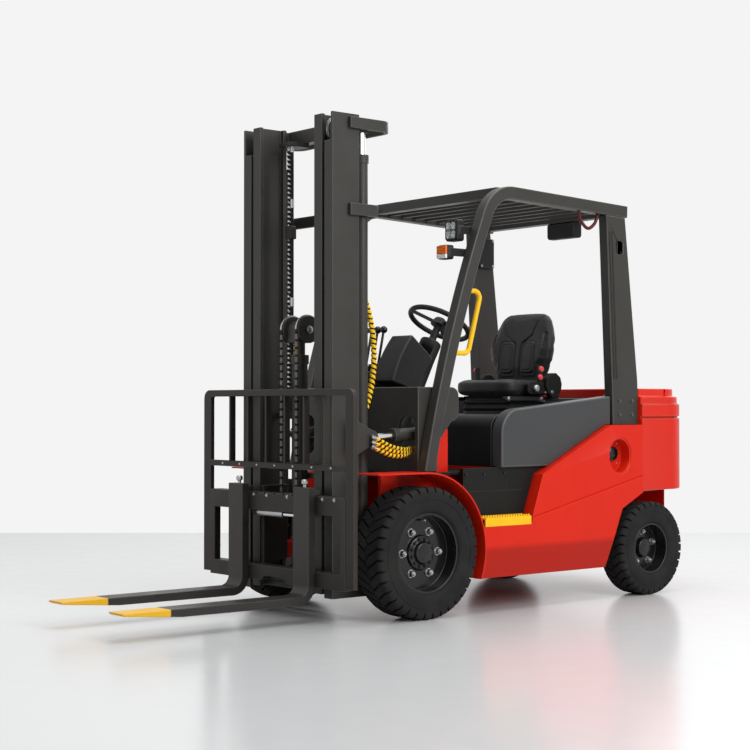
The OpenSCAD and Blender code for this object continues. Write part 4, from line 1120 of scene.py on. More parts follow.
@dataclass(frozen=True)
class Seat:
    """Suspension seat: padded cushion and back, bellows, recliner covers and buckles.

    Attributes:
        x: Lengthwise middle of the base.
        base_z: Height of the hood under the seat.
        cushion_z: Height of the cushion's underside.
        cushion_h: Height of the cushion.
        half_w: Half the cushion's width.
        back_x: Lengthwise place of the back's foot.
        back_h: Height of the back.
        lean_deg: Backward lean of the back.
        body: Body that carries the seat.
        swell_mm: Farthest that a point of a pad may move as it swells.
        voxel_mm: Side of the squares that a pad is remeshed into.
        pressure: Inner pressure of a pad.
        frames: Steps of the simulation.
    """

    x: float = -1110.0
    base_z: float = 988.0
    cushion_z: float = 1088.2
    cushion_h: float = 100.0
    half_w: float = 235.0
    back_x: float = -1195.0
    back_h: float = 382.0
    lean_deg: float = 8.0
    body: str = "hood"
    swell_mm: float = 7.0
    voxel_mm: float = 6.0
    pressure: float = 4.0
    frames: int = 20

    def build(self, shop: Shop) -> None:
        """Makes the soft and the moulded pieces of the seat.

        Args:
            shop: Maker of pieces.
        """
        self.cushion(shop)
        self.back(shop)
        self.base(shop)
        self.covers(shop)

    def pillow(self, low: Sequence[float], high: Sequence[float], square: float, crown: float) -> Array:
        """Points of a closed pillow: a sphere's grid pushed out towards a box.

        x = a * sgn(cos u cos v) |cos u|^p |cos v|^q and so on for y and z, with p making
        the plan square and q the crown flat.

        Args:
            low: Lowest corner.
            high: Highest corner.
            square: Power p.
            crown: Power q.

        Returns:
            Array of shape (rows, columns, 3).
        """
        low, high = np.asarray(low, float), np.asarray(high, float)
        u = np.linspace(0, 2 * np.pi, 96, endpoint=False)[None]
        v = np.linspace(-np.pi / 2, np.pi / 2, 49)[:, None]
        flat = np.cos(v).clip(0) ** crown
        unit = np.stack(
            [
                flat * np.sign(np.cos(u)) * np.abs(np.cos(u)) ** square,
                flat * np.sign(np.sin(u)) * np.abs(np.sin(u)) ** square,
                np.broadcast_to(np.sign(np.sin(v)) * np.abs(np.sin(v)) ** crown, (49, 96)),
            ],
            axis=-1,
        )
        return (low + high) / 2 + unit * (high - low) / 2

    def cushion(self, shop: Shop) -> None:
        """The dished cushion with a raised front lip and a sewn border.

        Args:
            shop: Maker of pieces.
        """
        low = (self.x - 182, -self.half_w + 8, self.cushion_z + 4)
        high = (self.x + 192, self.half_w - 8, self.cushion_z + self.cushion_h - 4)
        points = self.pillow(low, high, 0.32, 0.42)
        share_y = points[..., 1] / self.half_w
        share_x = (points[..., 0] - self.x) / 190.0
        top = np.clip((points[..., 2] - self.cushion_z - 40) / 50, 0, 1)
        points[..., 2] -= top * 24 * np.clip(1 - share_y**2, 0, 1) * np.clip(1.1 - share_x**2, 0, 1)
        pad = shop.mesh("seat_cushion.padded", Form.grid(points))
        pad = self.inflate(pad)
        self.carve(shop, pad, self.cushion_seams)
        piece = shop.put(pad, [SEAT_VINYL], self.body, ["seat_cushion"], 80)

    def back(self, shop: Shop) -> None:
        """The leaning back with wings, sewn lines and two raised lumbar pads.

        Point = (depth * cos a, half width * sin a) as a squarish oval at each height,
        with the wings drawn forward by the square of the distance from the middle.

        Args:
            shop: Maker of pieces.
        """
        h = np.concatenate([np.linspace(0, 330, 34), np.linspace(338, self.back_h, 12)])[:, None]
        knots = np.array([0, 50, 110, 165, 230, 290, 335, 360, 374, 382])
        half = np.interp(h, knots, [168, 196, 228, 240, 232, 206, 186, 166, 140, 60])
        deep = np.interp(h, knots, [42, 50, 52, 50, 48, 46, 42, 34, 22, 6])
        a = np.linspace(0, 2 * np.pi, 120, endpoint=False)[None]
        x = deep * np.sign(np.cos(a)) * np.abs(np.cos(a)) ** 0.55
        y = half * np.sign(np.sin(a)) * np.abs(np.sin(a)) ** 0.6
        reach = 34 * np.interp(h, [0, 90, 190, 300, 382], [0.5, 1, 1, 0.6, 0.3])
        wing = reach * np.clip(np.abs(y) / 240, 0, 1.05) ** 2.6
        local = np.stack([x - 58 + wing, y, np.broadcast_to(h, x.shape)], axis=-1)
        pad = shop.mesh("seat_back.padded", Form.grid(self.leant(local)))
        pad = self.inflate(pad)
        self.carve(shop, pad, self.back_seams)
        piece = shop.put(pad, [SEAT_VINYL], self.body, ["seat_back"], 80)

    def leant(self, local: Array) -> Array:
        """Points of the back turned by its lean, and moved to its foot.

        Args:
            local: Points as forward, sideways and up along the back.

        Returns:
            The points in the truck's axes.
        """
        lean = math.radians(self.lean_deg)
        foot_z = self.cushion_z + self.cushion_h + 1
        x = self.back_x + local[..., 0] * math.cos(lean) - local[..., 2] * math.sin(lean)
        z = foot_z + local[..., 2] * math.cos(lean) + local[..., 0] * math.sin(lean)
        return np.stack([x, local[..., 1], z], axis=-1)

    def inflate(self, mesh: bpy.types.Mesh) -> bpy.types.Mesh:
        """Swells a closed pad by cloth simulation under inner pressure.

        The mesh is remeshed into small squares, run for some frames as cloth with
        pressure and no gravity, held within swell_mm of where it started, and smoothed by
        one subdivision.

        Args:
            mesh: The pad.
        """
        scene = bpy.context.scene
        name = mesh.name
        pad = bpy.data.objects.new(name + ".pad", mesh)
        scene.collection.objects.link(pad)
        remesh = pad.modifiers.new("squares", "REMESH")
        remesh.mode = "VOXEL"
        remesh.voxel_size = self.voxel_mm * MM
        self.apply(pad)
        start = np.empty(len(pad.data.vertices) * 3)
        pad.data.vertices.foreach_get("co", start)
        cloth = pad.modifiers.new("swell", "CLOTH")
        cloth.settings.use_pressure = True
        cloth.settings.uniform_pressure_force = self.pressure
        cloth.settings.effector_weights.gravity = 0.0
        cloth.settings.quality = 4
        cloth.point_cache.frame_start, cloth.point_cache.frame_end = 1, self.frames
        for frame in range(1, self.frames + 1):
            scene.frame_set(frame)
        self.apply(pad)
        end = np.empty_like(start)
        pad.data.vertices.foreach_get("co", end)
        move = (end - start).reshape(-1, 3)
        length = np.linalg.norm(move, axis=1, keepdims=True)
        move *= np.minimum(1.0, self.swell_mm * MM / np.maximum(length, 1e-9))
        pad.data.vertices.foreach_set("co", start + move.reshape(-1))
        scene.frame_set(1)
        smooth = pad.modifiers.new("smooth", "SUBSURF")
        smooth.levels = smooth.render_levels = 1
        self.apply(pad)
        swollen = pad.data
        swollen.name = name
        bpy.data.objects.remove(pad)
        return swollen

    def apply(self, pad: bpy.types.Object) -> None:
        """Turns an object's modifiers into its mesh.

        Args:
            pad: The object.
        """
        graph = bpy.context.evaluated_depsgraph_get()
        done = bpy.data.meshes.new_from_object(pad.evaluated_get(graph))
        pad.modifiers.clear()
        before, pad.data = pad.data, done
        bpy.data.meshes.remove(before)

    def carve(self, shop: Shop, mesh: bpy.types.Mesh, depth: Callable[[Array, Array], Array]) -> None:
        """Presses sewn lines into a pad: each point moves inwards along its normal.

        Args:
            shop: Maker of pieces.
            mesh: The pad.
            depth: Function of points and normals that gives a depth in millimetres.
        """
        count = len(mesh.vertices)
        points, normals = np.empty(count * 3), np.empty(count * 3)
        mesh.vertices.foreach_get("co", points)
        mesh.vertex_normals.foreach_get("vector", normals)
        points, normals = points.reshape(-1, 3), normals.reshape(-1, 3)
        place = (points - np.array([shop.axle_x, 0.0, 0.0])) / MM
        points -= normals * depth(place, normals)[:, None] * MM
        mesh.vertices.foreach_set("co", points.reshape(-1))
        mesh.update()

    def to_line(self, point: Array, knots: Sequence[Sequence[float]]) -> Array:
        """Distance of flat points from a line of straight runs.

        Args:
            point: Array of shape (n, 2).
            knots: Corners of the line.

        Returns:
            Array of n distances.
        """
        k = np.asarray(knots, float)
        run = k[1:] - k[:-1]
        away = point[:, None] - k[None, :-1]
        share = np.clip((away * run).sum(-1) / (run**2).sum(-1), 0, 1)
        return np.linalg.norm(away - share[..., None] * run, axis=-1).min(axis=1)

    def to_rect(self, point: Array, centre: Sequence[float], half: Sequence[float], radius: float) -> Array:
        """Signed distance of flat points from a rectangle with round corners, negative inside."""
        q = np.abs(point - np.asarray(centre, float)) - np.asarray(half, float) + radius
        return np.linalg.norm(np.maximum(q, 0), axis=1) + np.minimum(q.max(axis=1), 0) - radius

    def cushion_seams(self, place: Array, normal: Array) -> Array:
        """Depth of the cushion's sewn border and its cross line, on its upper side.

        Depth = a bell curve of the distance from the nearest line.

        Args:
            place: Points of the cushion in millimetres.
            normal: Their normals.

        Returns:
            Array of depths in millimetres.
        """
        flat = place[:, :2] - np.array([self.x + 5, 0.0])
        border = np.abs(self.to_rect(flat, (0, 0), (142, 188), 60))
        line = np.minimum(border, np.where(np.abs(flat[:, 1]) < 150, np.abs(flat[:, 0] + 70), 99))
        return 5.0 * np.exp(-((line / 5.0) ** 2)) * np.clip(normal[:, 2] * 2 - 0.6, 0, 1)

    def back_seams(self, place: Array, normal: Array) -> Array:
        """Depth of the back's sewn lines, wing recesses and, as a negative depth, its pads.

        Depth = bell curves of the distances from the lines, less a ramp inside the pads,
        plus a ramp inside the recesses.

        Args:
            place: Points of the back in millimetres.
            normal: Their normals.

        Returns:
            Array of depths in millimetres.
        """
        lean = math.radians(self.lean_deg)
        up = (place[:, 2] - self.cushion_z - self.cushion_h) / math.cos(lean)
        flat = np.column_stack([np.abs(place[:, 1]), up])
        front = np.clip(normal[:, 0] * 2 - 0.4, 0, 1)
        line = self.to_line(flat, [(150, 352), (122, 300), (102, 243), (26, 198), (22, 170), (22, 14)])
        pad = self.to_rect(flat, (82, 118), (52, 92), 26)
        inner = np.abs(self.to_rect(flat, (82, 120), (34, 74), 18))
        recess = self.to_rect(flat, (196, 216), (13, 44), 13)
        depth = 7.0 * np.exp(-((line / 6.0) ** 2)) + 4.0 * np.exp(-((pad / 5.0) ** 2))
        depth -= 5.0 * np.clip(-pad / 10.0, 0, 1)
        depth += 3.0 * np.exp(-((inner / 3.5) ** 2)) + 9.0 * np.clip(-recess / 6.0 + 0.3, 0, 1)
        return depth * front

    def base(self, shop: Shop) -> None:
        """Bellows round the suspension and two slide rails with bolts.

        The bellows' wall goes in and out three times from bottom to top.

        Args:
            shop: Maker of pieces.
        """
        z = np.linspace(0, 99.4, 31)
        margin = 4 + 9 * (0.5 - 0.5 * np.cos(2 * np.pi * z / 33.2)) + 6 * z / 100
        outline = soft_rect((self.x - 160, -200), (self.x + 160, 200), 40, 8)
        middle = np.array([self.x, 0.0])
        share = 1 - margin[:, None, None] / np.array([160.0, 200.0])
        flat = middle + (outline - middle)[None] * share
        height = np.broadcast_to((self.base_z + 0.3 + z)[:, None, None], (31, len(outline), 1))
        points = np.concatenate([flat, height], axis=-1)
        shop.piece("seat_bellows", Form.grid(points), BLACK_ABS, self.body, ["seat_base"], sharp_deg=50)
        top = self.cushion_z + self.cushion_h
        outline = soft_rect((self.back_x - 100, top - 40), (self.back_x - 20, top + 44), 16)
        hinge = Form.slab(outline, -160, 160, Plane.SIDE)
        shop.piece("seat_hinge", hinge, BLACK_ABS, self.body, bevel_mm=5)
        rail = Form.slab(soft_rect((self.x - 200, 1062), (self.x + 215, 1084), 8), 205, 228, Plane.SIDE)
        shop.piece("seat_slides", rail.both(), AXLE_PAINT, self.body, bevel_mm=2)
        seats = [(self.x + 190, 228, 1073), (self.x - 60, 228, 1073)]
        heads = hex_bolt((0, 0, 0), 9, 7, (0, 1, 0)).copies(seats)
        shop.piece("seat_bolts", heads.both(), ZINC, self.body)

    def covers(self, shop: Shop) -> None:
        """Recliner covers at the hips, an adjusting knob and the belt's red buttons.

        Args:
            shop: Maker of pieces.
        """
        y = self.half_w + 1
        angle = np.radians([100, 62, 30, -4, -40, -80, -112, -146, 176, 138])
        reach = np.array([66, 70, 72, 70, 72, 78, 74, 60, 56, 60])
        hip = np.array([self.x - 120, self.cushion_z + 62])
        shield = hip + reach[:, None] * np.column_stack([np.cos(angle), np.sin(angle)])
        front = soft_rect((self.x - 78, self.cushion_z + 8), (self.x + 72, self.cushion_z + 74), 20)
        form = Form.slab(shield, y, y + 42, Plane.SIDE) + Form.slab(front, y, y + 24, Plane.SIDE)
        shop.piece("seat_hip_covers", form.both(), PANEL_ABS, self.body, ["seat_sides"], bevel_mm=7)
        grip = [(0, 0), (20, 0), (20, 16), (15, 22), (0, 23)]
        knob = Form.turned(grip, (self.x + 20, y + 24, self.cushion_z + 40))
        screws = hex_bolt((self.x - 96, y + 42, self.cushion_z + 20), 8, 6, (0, 1, 0))
        screws += hex_bolt((self.x - 68, y + 24, self.cushion_z + 20), 8, 6, (0, 1, 0))
        shop.piece("seat_knobs", (knob + screws).both(), ZINC, self.body, bevel_mm=1)
        stalk = Form.slab(soft_rect((-14, 0), (14, 96), 10), y + 2, y + 18, Plane.SIDE)
        stalk = stalk.copies([[self.x - 30, 0, self.cushion_z + 70]])
        shop.piece("belt_stalks", stalk.both(), BLACK_ABS, self.body, bevel_mm=3)
        dome = [(0, 0), (16, 0), (16, 9), (12, 14), (0, 15)]
        button = Form.turned(dome, (self.x - 30, y + 18, self.cushion_z + 146))
        low = Form.turned(dome, (self.x - 22, y + 18, self.cushion_z + 102))
        shop.piece("belt_buttons", (button + low) + button.other_side(), RED_BUTTON, self.body, bevel_mm=1)


@dataclass(frozen=True)
class Mast:
    """Nested mast with its rollers, chains, hoses, carriage and backrest.

    Attributes:
        column_x: Lengthwise middle of the columns.
        top_roller_z: Height of the outer columns' rollers.
        pulley_z: Height of the chain pulleys' axle.
        pulley_y: Sideways place of a chain.
        pulley_r: Radius of a chain pulley.
        anchor_z: Height at which the rear strands are held.
        carriage_z: Height at which the front strands are held.
        lift_y: Sideways place of a lift cylinder and the bowed hose behind it.
        chain_pitch: Distance between the chain's pins.
    """

    column_x: float = 318.5
    top_roller_z: float = 2380.0
    pulley_z: float = 1414.1
    pulley_y: float = 62.0
    pulley_r: float = 60.0
    anchor_z: float = 700.0
    carriage_z: float = 564.0
    lift_y: float = 325.0
    chain_pitch: float = 19.0

    def build(self, shop: Shop) -> None:
        """Makes and dresses the mast's pieces.

        Args:
            shop: Maker of pieces.
        """
        for node in ("outer_mast", "mast_bows", "inner_mast", "free_barrel", "tilt_barrels"):
            shop.rounded(node, CHARCOAL_COAT, 2.5)
        for node in ("lift_barrels", "crosshead"):
            shop.rounded(node, CHARCOAL_COAT, 1.5)
        for node in ("carriage", "shifter", "backrest"):
            shop.rounded(node, CARRIAGE_COAT, 3.0, 0.35)
        shop.dress("lift_rods", CHROME)
        shop.dress("tilt_rods", CHROME)
        self.rollers(shop)
        self.chains(shop)
        self.bowed_hoses(shop)
        self.hose_bundle(shop)
        self.lift_hoses(shop)
        self.bolts(shop)

    def rollers(self, shop: Shop) -> None:
        """Bright ground faces over the rollers at the top of the outer columns.

        Args:
            shop: Maker of pieces.
        """
        profile = [(0, 0), (20, 0), (22, 3), (58, 3), (63.6, 8), (63.6, 30), (58, 35.5), (0, 35.5)]
        centre = (self.column_x, 266.0, self.top_roller_z)
        faces = Form.turned(profile, centre, sides=64)
        shop.piece("mast_rollers", faces.both(), ZINC, "outer_mast", bevel_mm=1)

    def link_plates(self, count: int, x: float, low: float) -> tuple[Form, Array]:
        """A straight leaf chain: plates by turns outside and inside, on round pins.

        Each plate is the outline of two circles joined by a waist, 1.6 mm thick.

        Args:
            count: Number of links.
            x: Middle of the chain's thickness.
            low: Height of the lowest pin.

        Returns:
            The form, and the slots of its faces and its mirror image's: 0 outside, 1 inside.
        """
        p, r = self.chain_pitch, 5.6
        end = np.radians(np.linspace(-60, 60, 5))
        right = np.column_stack([r * np.sin(end), p / 2 + r * np.cos(end)])
        waist = np.array([[r * 0.72, 0.0]])
        outline = np.vstack([right, waist, [[-1, -1]] * right, -waist])
        outer = np.array([-8.4, -3.4, 1.8, 6.8])
        inner = np.array([-5.9, -0.8, 4.3])
        odd = np.arange(0, count, 2)
        even = np.arange(1, count, 2)
        plate = Form.slab(outline, 0.0, 1.6, Plane.SIDE)
        middles = low + p * (np.arange(count) + 0.5)
        first = np.stack(np.meshgrid([x], self.pulley_y + outer, middles[odd]), -1).reshape(-1, 3)
        second = np.stack(np.meshgrid([x], self.pulley_y + inner, middles[even]), -1).reshape(-1, 3)
        pin = Form.turned([(0, -9.2), (2.6, -9.2), (2.6, 9.2), (0, 9.2)], (0, 0, 0), sides=8)
        pins = np.column_stack(
            [np.full(count + 1, x), np.full(count + 1, self.pulley_y), low + p * np.arange(count + 1)]
        )
        parts = [plate.copies(first), plate.copies(second), pin.copies(pins)]
        slots = np.repeat([0, 1, 0], [sum(len(f) for f in part.faces) for part in parts])
        return parts[0] + parts[1] + parts[2], np.tile(slots, 2)

    def chains(self, shop: Shop) -> None:
        """Both strands of both chains, and the part that lies round the pulleys.

        The rear strand stretches between its anchor and the crosshead.  The front strand
        rides on the carriage.

        Args:
            shop: Maker of pieces.
        """
        away = self.pulley_r + 6.5
        rear_count = int((self.pulley_z - self.anchor_z) / self.chain_pitch)
        front_count = int((self.pulley_z - self.carriage_z) / self.chain_pitch)
        # Slot 1, the inner leaves, takes the painted shade.
        steels = [CHAIN_STEEL, CHAIN_SHADE]
        form, slots = self.link_plates(rear_count, self.column_x - away, self.anchor_z + 6)
        strand = shop.piece(
            "chain_rear.leaves", form.both(), steels, None, ["chain_rear"], sharp_deg=40, slots=slots
        )
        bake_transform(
            strand,
            "inner_mast",
            "crosshead",
            shop.at(self.column_x, 0, self.anchor_z),
            shop.at(self.column_x, 0, self.pulley_z - 2),
        )
        form, slots = self.link_plates(front_count, self.column_x + away, self.carriage_z + 6)
        strand = shop.piece(
            "chain_front.leaves",
            form.both(),
            steels,
            "carriage",
            ["chain_front"],
            sharp_deg=40,
            slots=slots,
        )
        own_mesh(strand)
        angle = np.linspace(0, np.pi, 40)
        centre = np.array([self.column_x, self.pulley_y, self.pulley_z])
        path = centre + away * np.column_stack([np.cos(angle), np.zeros(40), np.sin(angle)])
        wrap = Form.swept(path, soft_rect((-8.4, -5.5), (8.4, 5.5), 2.0, 3), (0.0, 1.0, 0.0))
        shop.piece("chain_bend", wrap.both(), CHAIN_STEEL, "crosshead")

    def bowed_hoses(self, shop: Shop) -> None:
        """One hose in a yellow spiral guard bowed behind each column, with end fittings.

        The path is an arc about a point in front of the mast.

        Args:
            shop: Maker of pieces.
        """
        heading = np.radians(np.linspace(113, 67, 280))
        path = np.column_stack(
            [796 - 690 * np.sin(heading), np.full(280, self.lift_y), 1283.6 + 690 * np.cos(heading)]
        )
        form, slots = ribbed(path, 14.5, 4.0, 25.0)
        shop.piece(
            "mast_hoses.spiral",
            form.both(),
            [HOSE_YELLOW, HOSE_BLACK],
            "outer_mast",
            ["mast_hoses"],
            slots=np.tile(slots, 2),
        )
        ends = self.fitting(path[0], path[0] - path[3]) + self.fitting(path[-1], path[-1] - path[-4])
        shop.piece("mast_hose_fittings", ends.both(), ZINC, "outer_mast")

    def fitting(self, place: Array, way: Array, size: float = 11.0) -> Form:
        """A crimped sleeve and a six-sided nut at a hose's end.

        Args:
            place: Where the hose ends.
            way: Direction out of the hose.
            size: Radius of the sleeve.

        Returns:
            The form.
        """
        crimp = [(0, -16), (size, -16), (size, -11), (size * 0.9, -9), (size, -7), (size, 3)]
        sleeve = crimp + [(size * 0.6, 5), (0, 5)]
        nut = [(0, 4), (size * 1.15, 4), (size * 1.15, 16), (size * 0.9, 18), (0, 18)]
        return Form.turned(sleeve, place, way, 20) + Form.turned(nut, place, way, 6)

    def hose_bundle(self, shop: Shop) -> None:
        """Three yellow hoses from the left tilt bracket, side by side, into the cowl's opening.

        Args:
            shop: Maker of pieces.
        """
        forms, slots, ends = [], [], []
        for drop in (0.0, 1.0, 2.0):
            knots = [
                (204, 447, 880 - 25 * drop),
                (168, 453, 862 - 24 * drop),
                (112, 456, 838 - 22 * drop),
                (52, 454, 824 - 18 * drop),
                (0, 440, 820 - 13 * drop),
                (-50, 418, 824 - 11 * drop),
                (-110, 404, 828 - 11 * drop),
            ]
            path = smooth_path(knots, 200)
            form, slot = ribbed(path, 11.0, 3.0, 25.0, 14)
            forms.append(form)
            slots.append(slot)
            ends.append(self.fitting(path[0], path[0] - path[3], 10.0))
        bundle = shop.piece(
            "tilt_hoses",
            forms[0] + forms[1] + forms[2],
            [HOSE_YELLOW, HOSE_BLACK],
            None,
            slots=np.concatenate(slots),
        )
        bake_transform(bundle, "outer_mast", "chassis", shop.at(200, 400, 790), shop.at(-60, 400, 790))
        shop.piece("tilt_hose_fittings", ends[0] + ends[1] + ends[2], ZINC, "outer_mast")

    def lift_hoses(self, shop: Shop) -> None:
        """Two hoses inside the right inner column, one in a black spiral guard, on a bracket.

        Args:
            shop: Maker of pieces.
        """
        body = "inner_mast"
        x = 290.0
        outer = [(-128, 2338), (-125, 2196), (-125, 1800), (-125, 1300), (-128, 980)]
        inner = [(-103, 2338), (-102, 2240), (-102, 2077), (-102, 1519), (-104, 980)]
        guarded = smooth_path([(x, y, z) for y, z in outer], 420)
        plain = smooth_path([(x, y, z) for y, z in inner], 60)
        form, slots = ribbed(guarded, 12.0, 3.0, 24.0, 12)
        shop.piece("lift_hose_guarded", form, [HOSE_BLACK, ZINC], body, slots=slots)
        shop.piece("lift_hose_plain", Form.swept(plain, ring(8.0, 14)), HOSE_BLACK, body)
        up = np.array([0.0, 0.0, 1.0])
        ends = self.fitting(guarded[0], up) + self.fitting(plain[0], up, 9.5)
        sleeve = Form.turned([(0, -22), (10, -22), (10, 22), (0, 22)], (x, -102, 0), up, 20)
        ends += sleeve.copies([[0, 0, 2060], [0, 0, 1560]])
        shop.piece("lift_hose_fittings", ends, ZINC, body, bevel_mm=0.8)
        shelf = Form.slab(soft_rect((190, -186), (316, -84), 10), 2352, 2372, Plane.PLAN)
        clamp = Form.slab(soft_rect((-142, 1880), (-88, 1948), 8), 274, 306, Plane.FRONT)
        foot = Form.slab(soft_rect((-222, 968), (-88, 1000), 8), 274, 306, Plane.FRONT)
        shop.piece("lift_hose_clamps", shelf + clamp + foot, CARRIAGE_COAT, body, bevel_mm=2)

    def bolts(self, shop: Shop) -> None:
        """Bolts on the pulleys' axle, and bright zinc dots on the backrest that are painted highlights.

        Args:
            shop: Maker of pieces.
        """
        cap = hex_bolt((self.column_x, 84, self.pulley_z), 15, 10, (0, 1, 0))
        shop.piece("pulley_bolts", cap.both(), ZINC, "crosshead")
        # Painted highlights: small bright zinc domes along the backrest's middle bar, one at each upright.
        spot = Form.turned([(0, -1), (6, -1), (5, 2), (2.5, 3.2), (0, 3.4)], (0, 0, 0), (1, 0, 0), 12)
        y = np.linspace(-450, 450, 7)
        rows = np.column_stack([np.full(7, 475.4), y, np.full(7, 739.0)])
        shop.piece("backrest_painted_highlights", spot.copies(rows), ZINC, body_of(shop.nodes["backrest"])[0])


@dataclass(frozen=True)
class Forks:
    """Two forks with yellow tips, latch knobs and a bright side-shift rod.

    Attributes:
        spread: Distance between the fork centres.
        bar_top: Height of the upper bar.
        shank_x: Lengthwise place of the shank's back.
        tip_length: Length of the yellow tip.
    """

    spread: float = 546.0
    bar_top: float = 604.0
    shank_x: float = 477.6
    tip_length: float = 250.0

    def build(self, shop: Shop) -> None:
        """Makes and dresses the forks and their latches.

        Args:
            shop: Maker of pieces.
        """
        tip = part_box("fork_left")[1].x - self.tip_length * MM
        coat = replace(FORK_COAT, tip_from_m=tip)
        body = body_of(shop.nodes["fork_left"])[0]
        for node in ("fork_left", "fork_right"):
            shop.rounded(node, coat, 4.0, 0.3)
        knob = Form.turned(
            [(0, 0), (9, 0), (9, 12), (16, 16), (17, 30), (12, 37), (0, 38)],
            (self.shank_x + 16, 0, self.bar_top + 40.2),
            (0, 0, 1),
            24,
        )
        knobs = knob.copies([[0, self.spread / 2, 0], [0, -self.spread / 2, 0]])
        shop.piece("fork_latches", knobs, ZINC, body)
        rod_end = (self.shank_x - 19, 60.5, self.bar_top - 103)
        rod = Form.turned([(0, 0), (10.6, 0), (10.6, 129), (0, 129)], rod_end, sides=32)
        shop.piece("side_shift_rod", rod, CHROME, body)
        barrel_end = (self.shank_x - 19, -150.0, self.bar_top - 103)
        barrel = Form.turned([(0, 0), (16.6, 0), (16.6, 209), (0, 209)], barrel_end, sides=32)
        shop.piece("side_shift_barrel", barrel, ZINC, body, bevel_mm=2)
        bolt = hex_bolt((self.shank_x - 0.2, 0, self.bar_top - 14), 7, 6, (1, 0, 0))
        seats = [[0, y, 0] for y in (-170, -60, 110, 390, 480)]
        shop.piece("bar_bolts", bolt.copies(seats), ZINC, body)


@dataclass(frozen=True)
class Body:
    """Red body, counterweight, covers, steps, floor and axles.

    Attributes:
        body: Body of the frame.
        step_front: Lengthwise place of the step's front end.
        step_back: Lengthwise place of the step's rear end.
        step_top: Height of the step.
        step_in: Sideways place of the step's inner edge.
        step_out: Sideways place of the step's outer edge.
    """

    body: str = "chassis"
    step_front: float = -400.0
    step_back: float = -717.0
    step_top: float = 472.0
    step_in: float = 523.0
    step_out: float = 600.0

    def build(self, shop: Shop) -> None:
        """Rounds and dresses the body's nodes, and adds its small pieces.

        Args:
            shop: Maker of pieces.
        """
        for node, width in (
            ("frame", 2.0),
            ("side_tanks", 3.0),
            ("front_plates", 2.0),
            ("rear_spine", 2.0),
            ("counterweight", 7.0),
            ("counterweight_foot", 5.0),
            ("side_panels", 2.5),
            ("front_fenders", 2.0),
        ):
            shop.rounded(node, TANK_ENAMEL if node == "side_tanks" else RED_ENAMEL, width, 0.2)
        for node, finish, width in (
            ("lower_covers", PANEL_ABS, 1.2),
            ("hood_flanks", GREY_ABS, 9.0),
            ("front_deck", BLACK_ABS, 2.5),
            ("hood", GREY_ABS, 5.0),
            ("step_plates", YELLOW_PAINT, 2.0),
            ("cowl", CHARCOAL_COAT, 5.0),
            ("drive_axle", AXLE_PAINT, 2.0),
            ("steer_axle", AXLE_PAINT, 2.0),
            ("battery", CHARCOAL_COAT, 6.0),
            ("floor_plate", FLOOR_MAT, 1.5),
            ("pedals", FLOOR_MAT, 3.0),
        ):
            shop.rounded(node, finish, width)
        self.step_teeth(shop)
        self.floor_ribs(shop)
        self.bolts(shop)

    def step_teeth(self, shop: Shop) -> None:
        """Rows of round-topped teeth pressed up along the steps' edges.

        Args:
            shop: Maker of pieces.
        """
        tooth = Form.turned([(0, -1), (6, -1), (6, 6), (4, 9), (0, 10)], (0, 0, 0), (0, 0, 1), 12)
        x = np.arange(self.step_back + 14, self.step_front - 14, 18.0)
        y = np.array([self.step_in + 16, self.step_out - 8])
        seats = np.stack(np.meshgrid(x, y, [self.step_top], indexing="ij"), -1).reshape(-1, 3)
        shop.piece("step_teeth", tooth.copies(seats).both(), YELLOW_PAINT, self.body)

    def floor_ribs(self, shop: Shop) -> None:
        """Lengthwise ribs of the rubber mat on the driver's floor.

        Args:
            shop: Maker of pieces.
        """
        rib = Form.slab(soft_rect((-4, 0), (4, 4), 1.6, 3), -300, -215, Plane.FRONT)
        lanes = np.column_stack([np.zeros(19), np.linspace(-340, 340, 19), np.full(19, 702.0)])
        keep = np.abs(lanes[:, 1]) > 90
        ribs = rib.copies(lanes[keep] - np.array([230.0, 0, 0]))
        shop.piece("floor_mat_ribs", ribs, FLOOR_MAT, self.body)

    def bolts(self, shop: Shop) -> None:
        """Bolt heads on fenders and covers, and the cover inside each oval opening.

        Args:
            shop: Maker of pieces.
        """
        side = hex_bolt((0, 0, 0), 8, 6, (0, 1, 0))
        seats = [(-455, 522.2, 690), (-455, 522.2, 455), (-600, 522.2, 690), (-330, 522.2, 690)]
        shop.piece("cover_screws", side.copies(seats).both(), BLACK_GLOSS, self.body)
        plug = Form.slab(soft_rect((-1482, 684), (-1340, 842), 70), 505, 516, Plane.SIDE)
        shop.piece("charge_covers", plug.both(), BLACK_ABS, self.body, bevel_mm=3)
        middle = (-1411.0, 516.0, 775.0)
        rim = [(0, 0), (38, 0), (38, 22), (30, 26), (26, 12), (0, 12)]
        socket = Form.turned(rim, middle, sides=32)
        corners = np.array(middle) + [(48 * i, 0, 54 * j) for i in (1, -1) for j in (1, -1)]
        screws = hex_bolt((0, 0, 0), 6, 5, (0, 1, 0)).copies(corners)
        shop.piece("charge_sockets", socket.both(), BLACK_GLOSS, self.body, bevel_mm=1)
        shop.piece("charge_screws", screws.both(), ZINC, self.body)


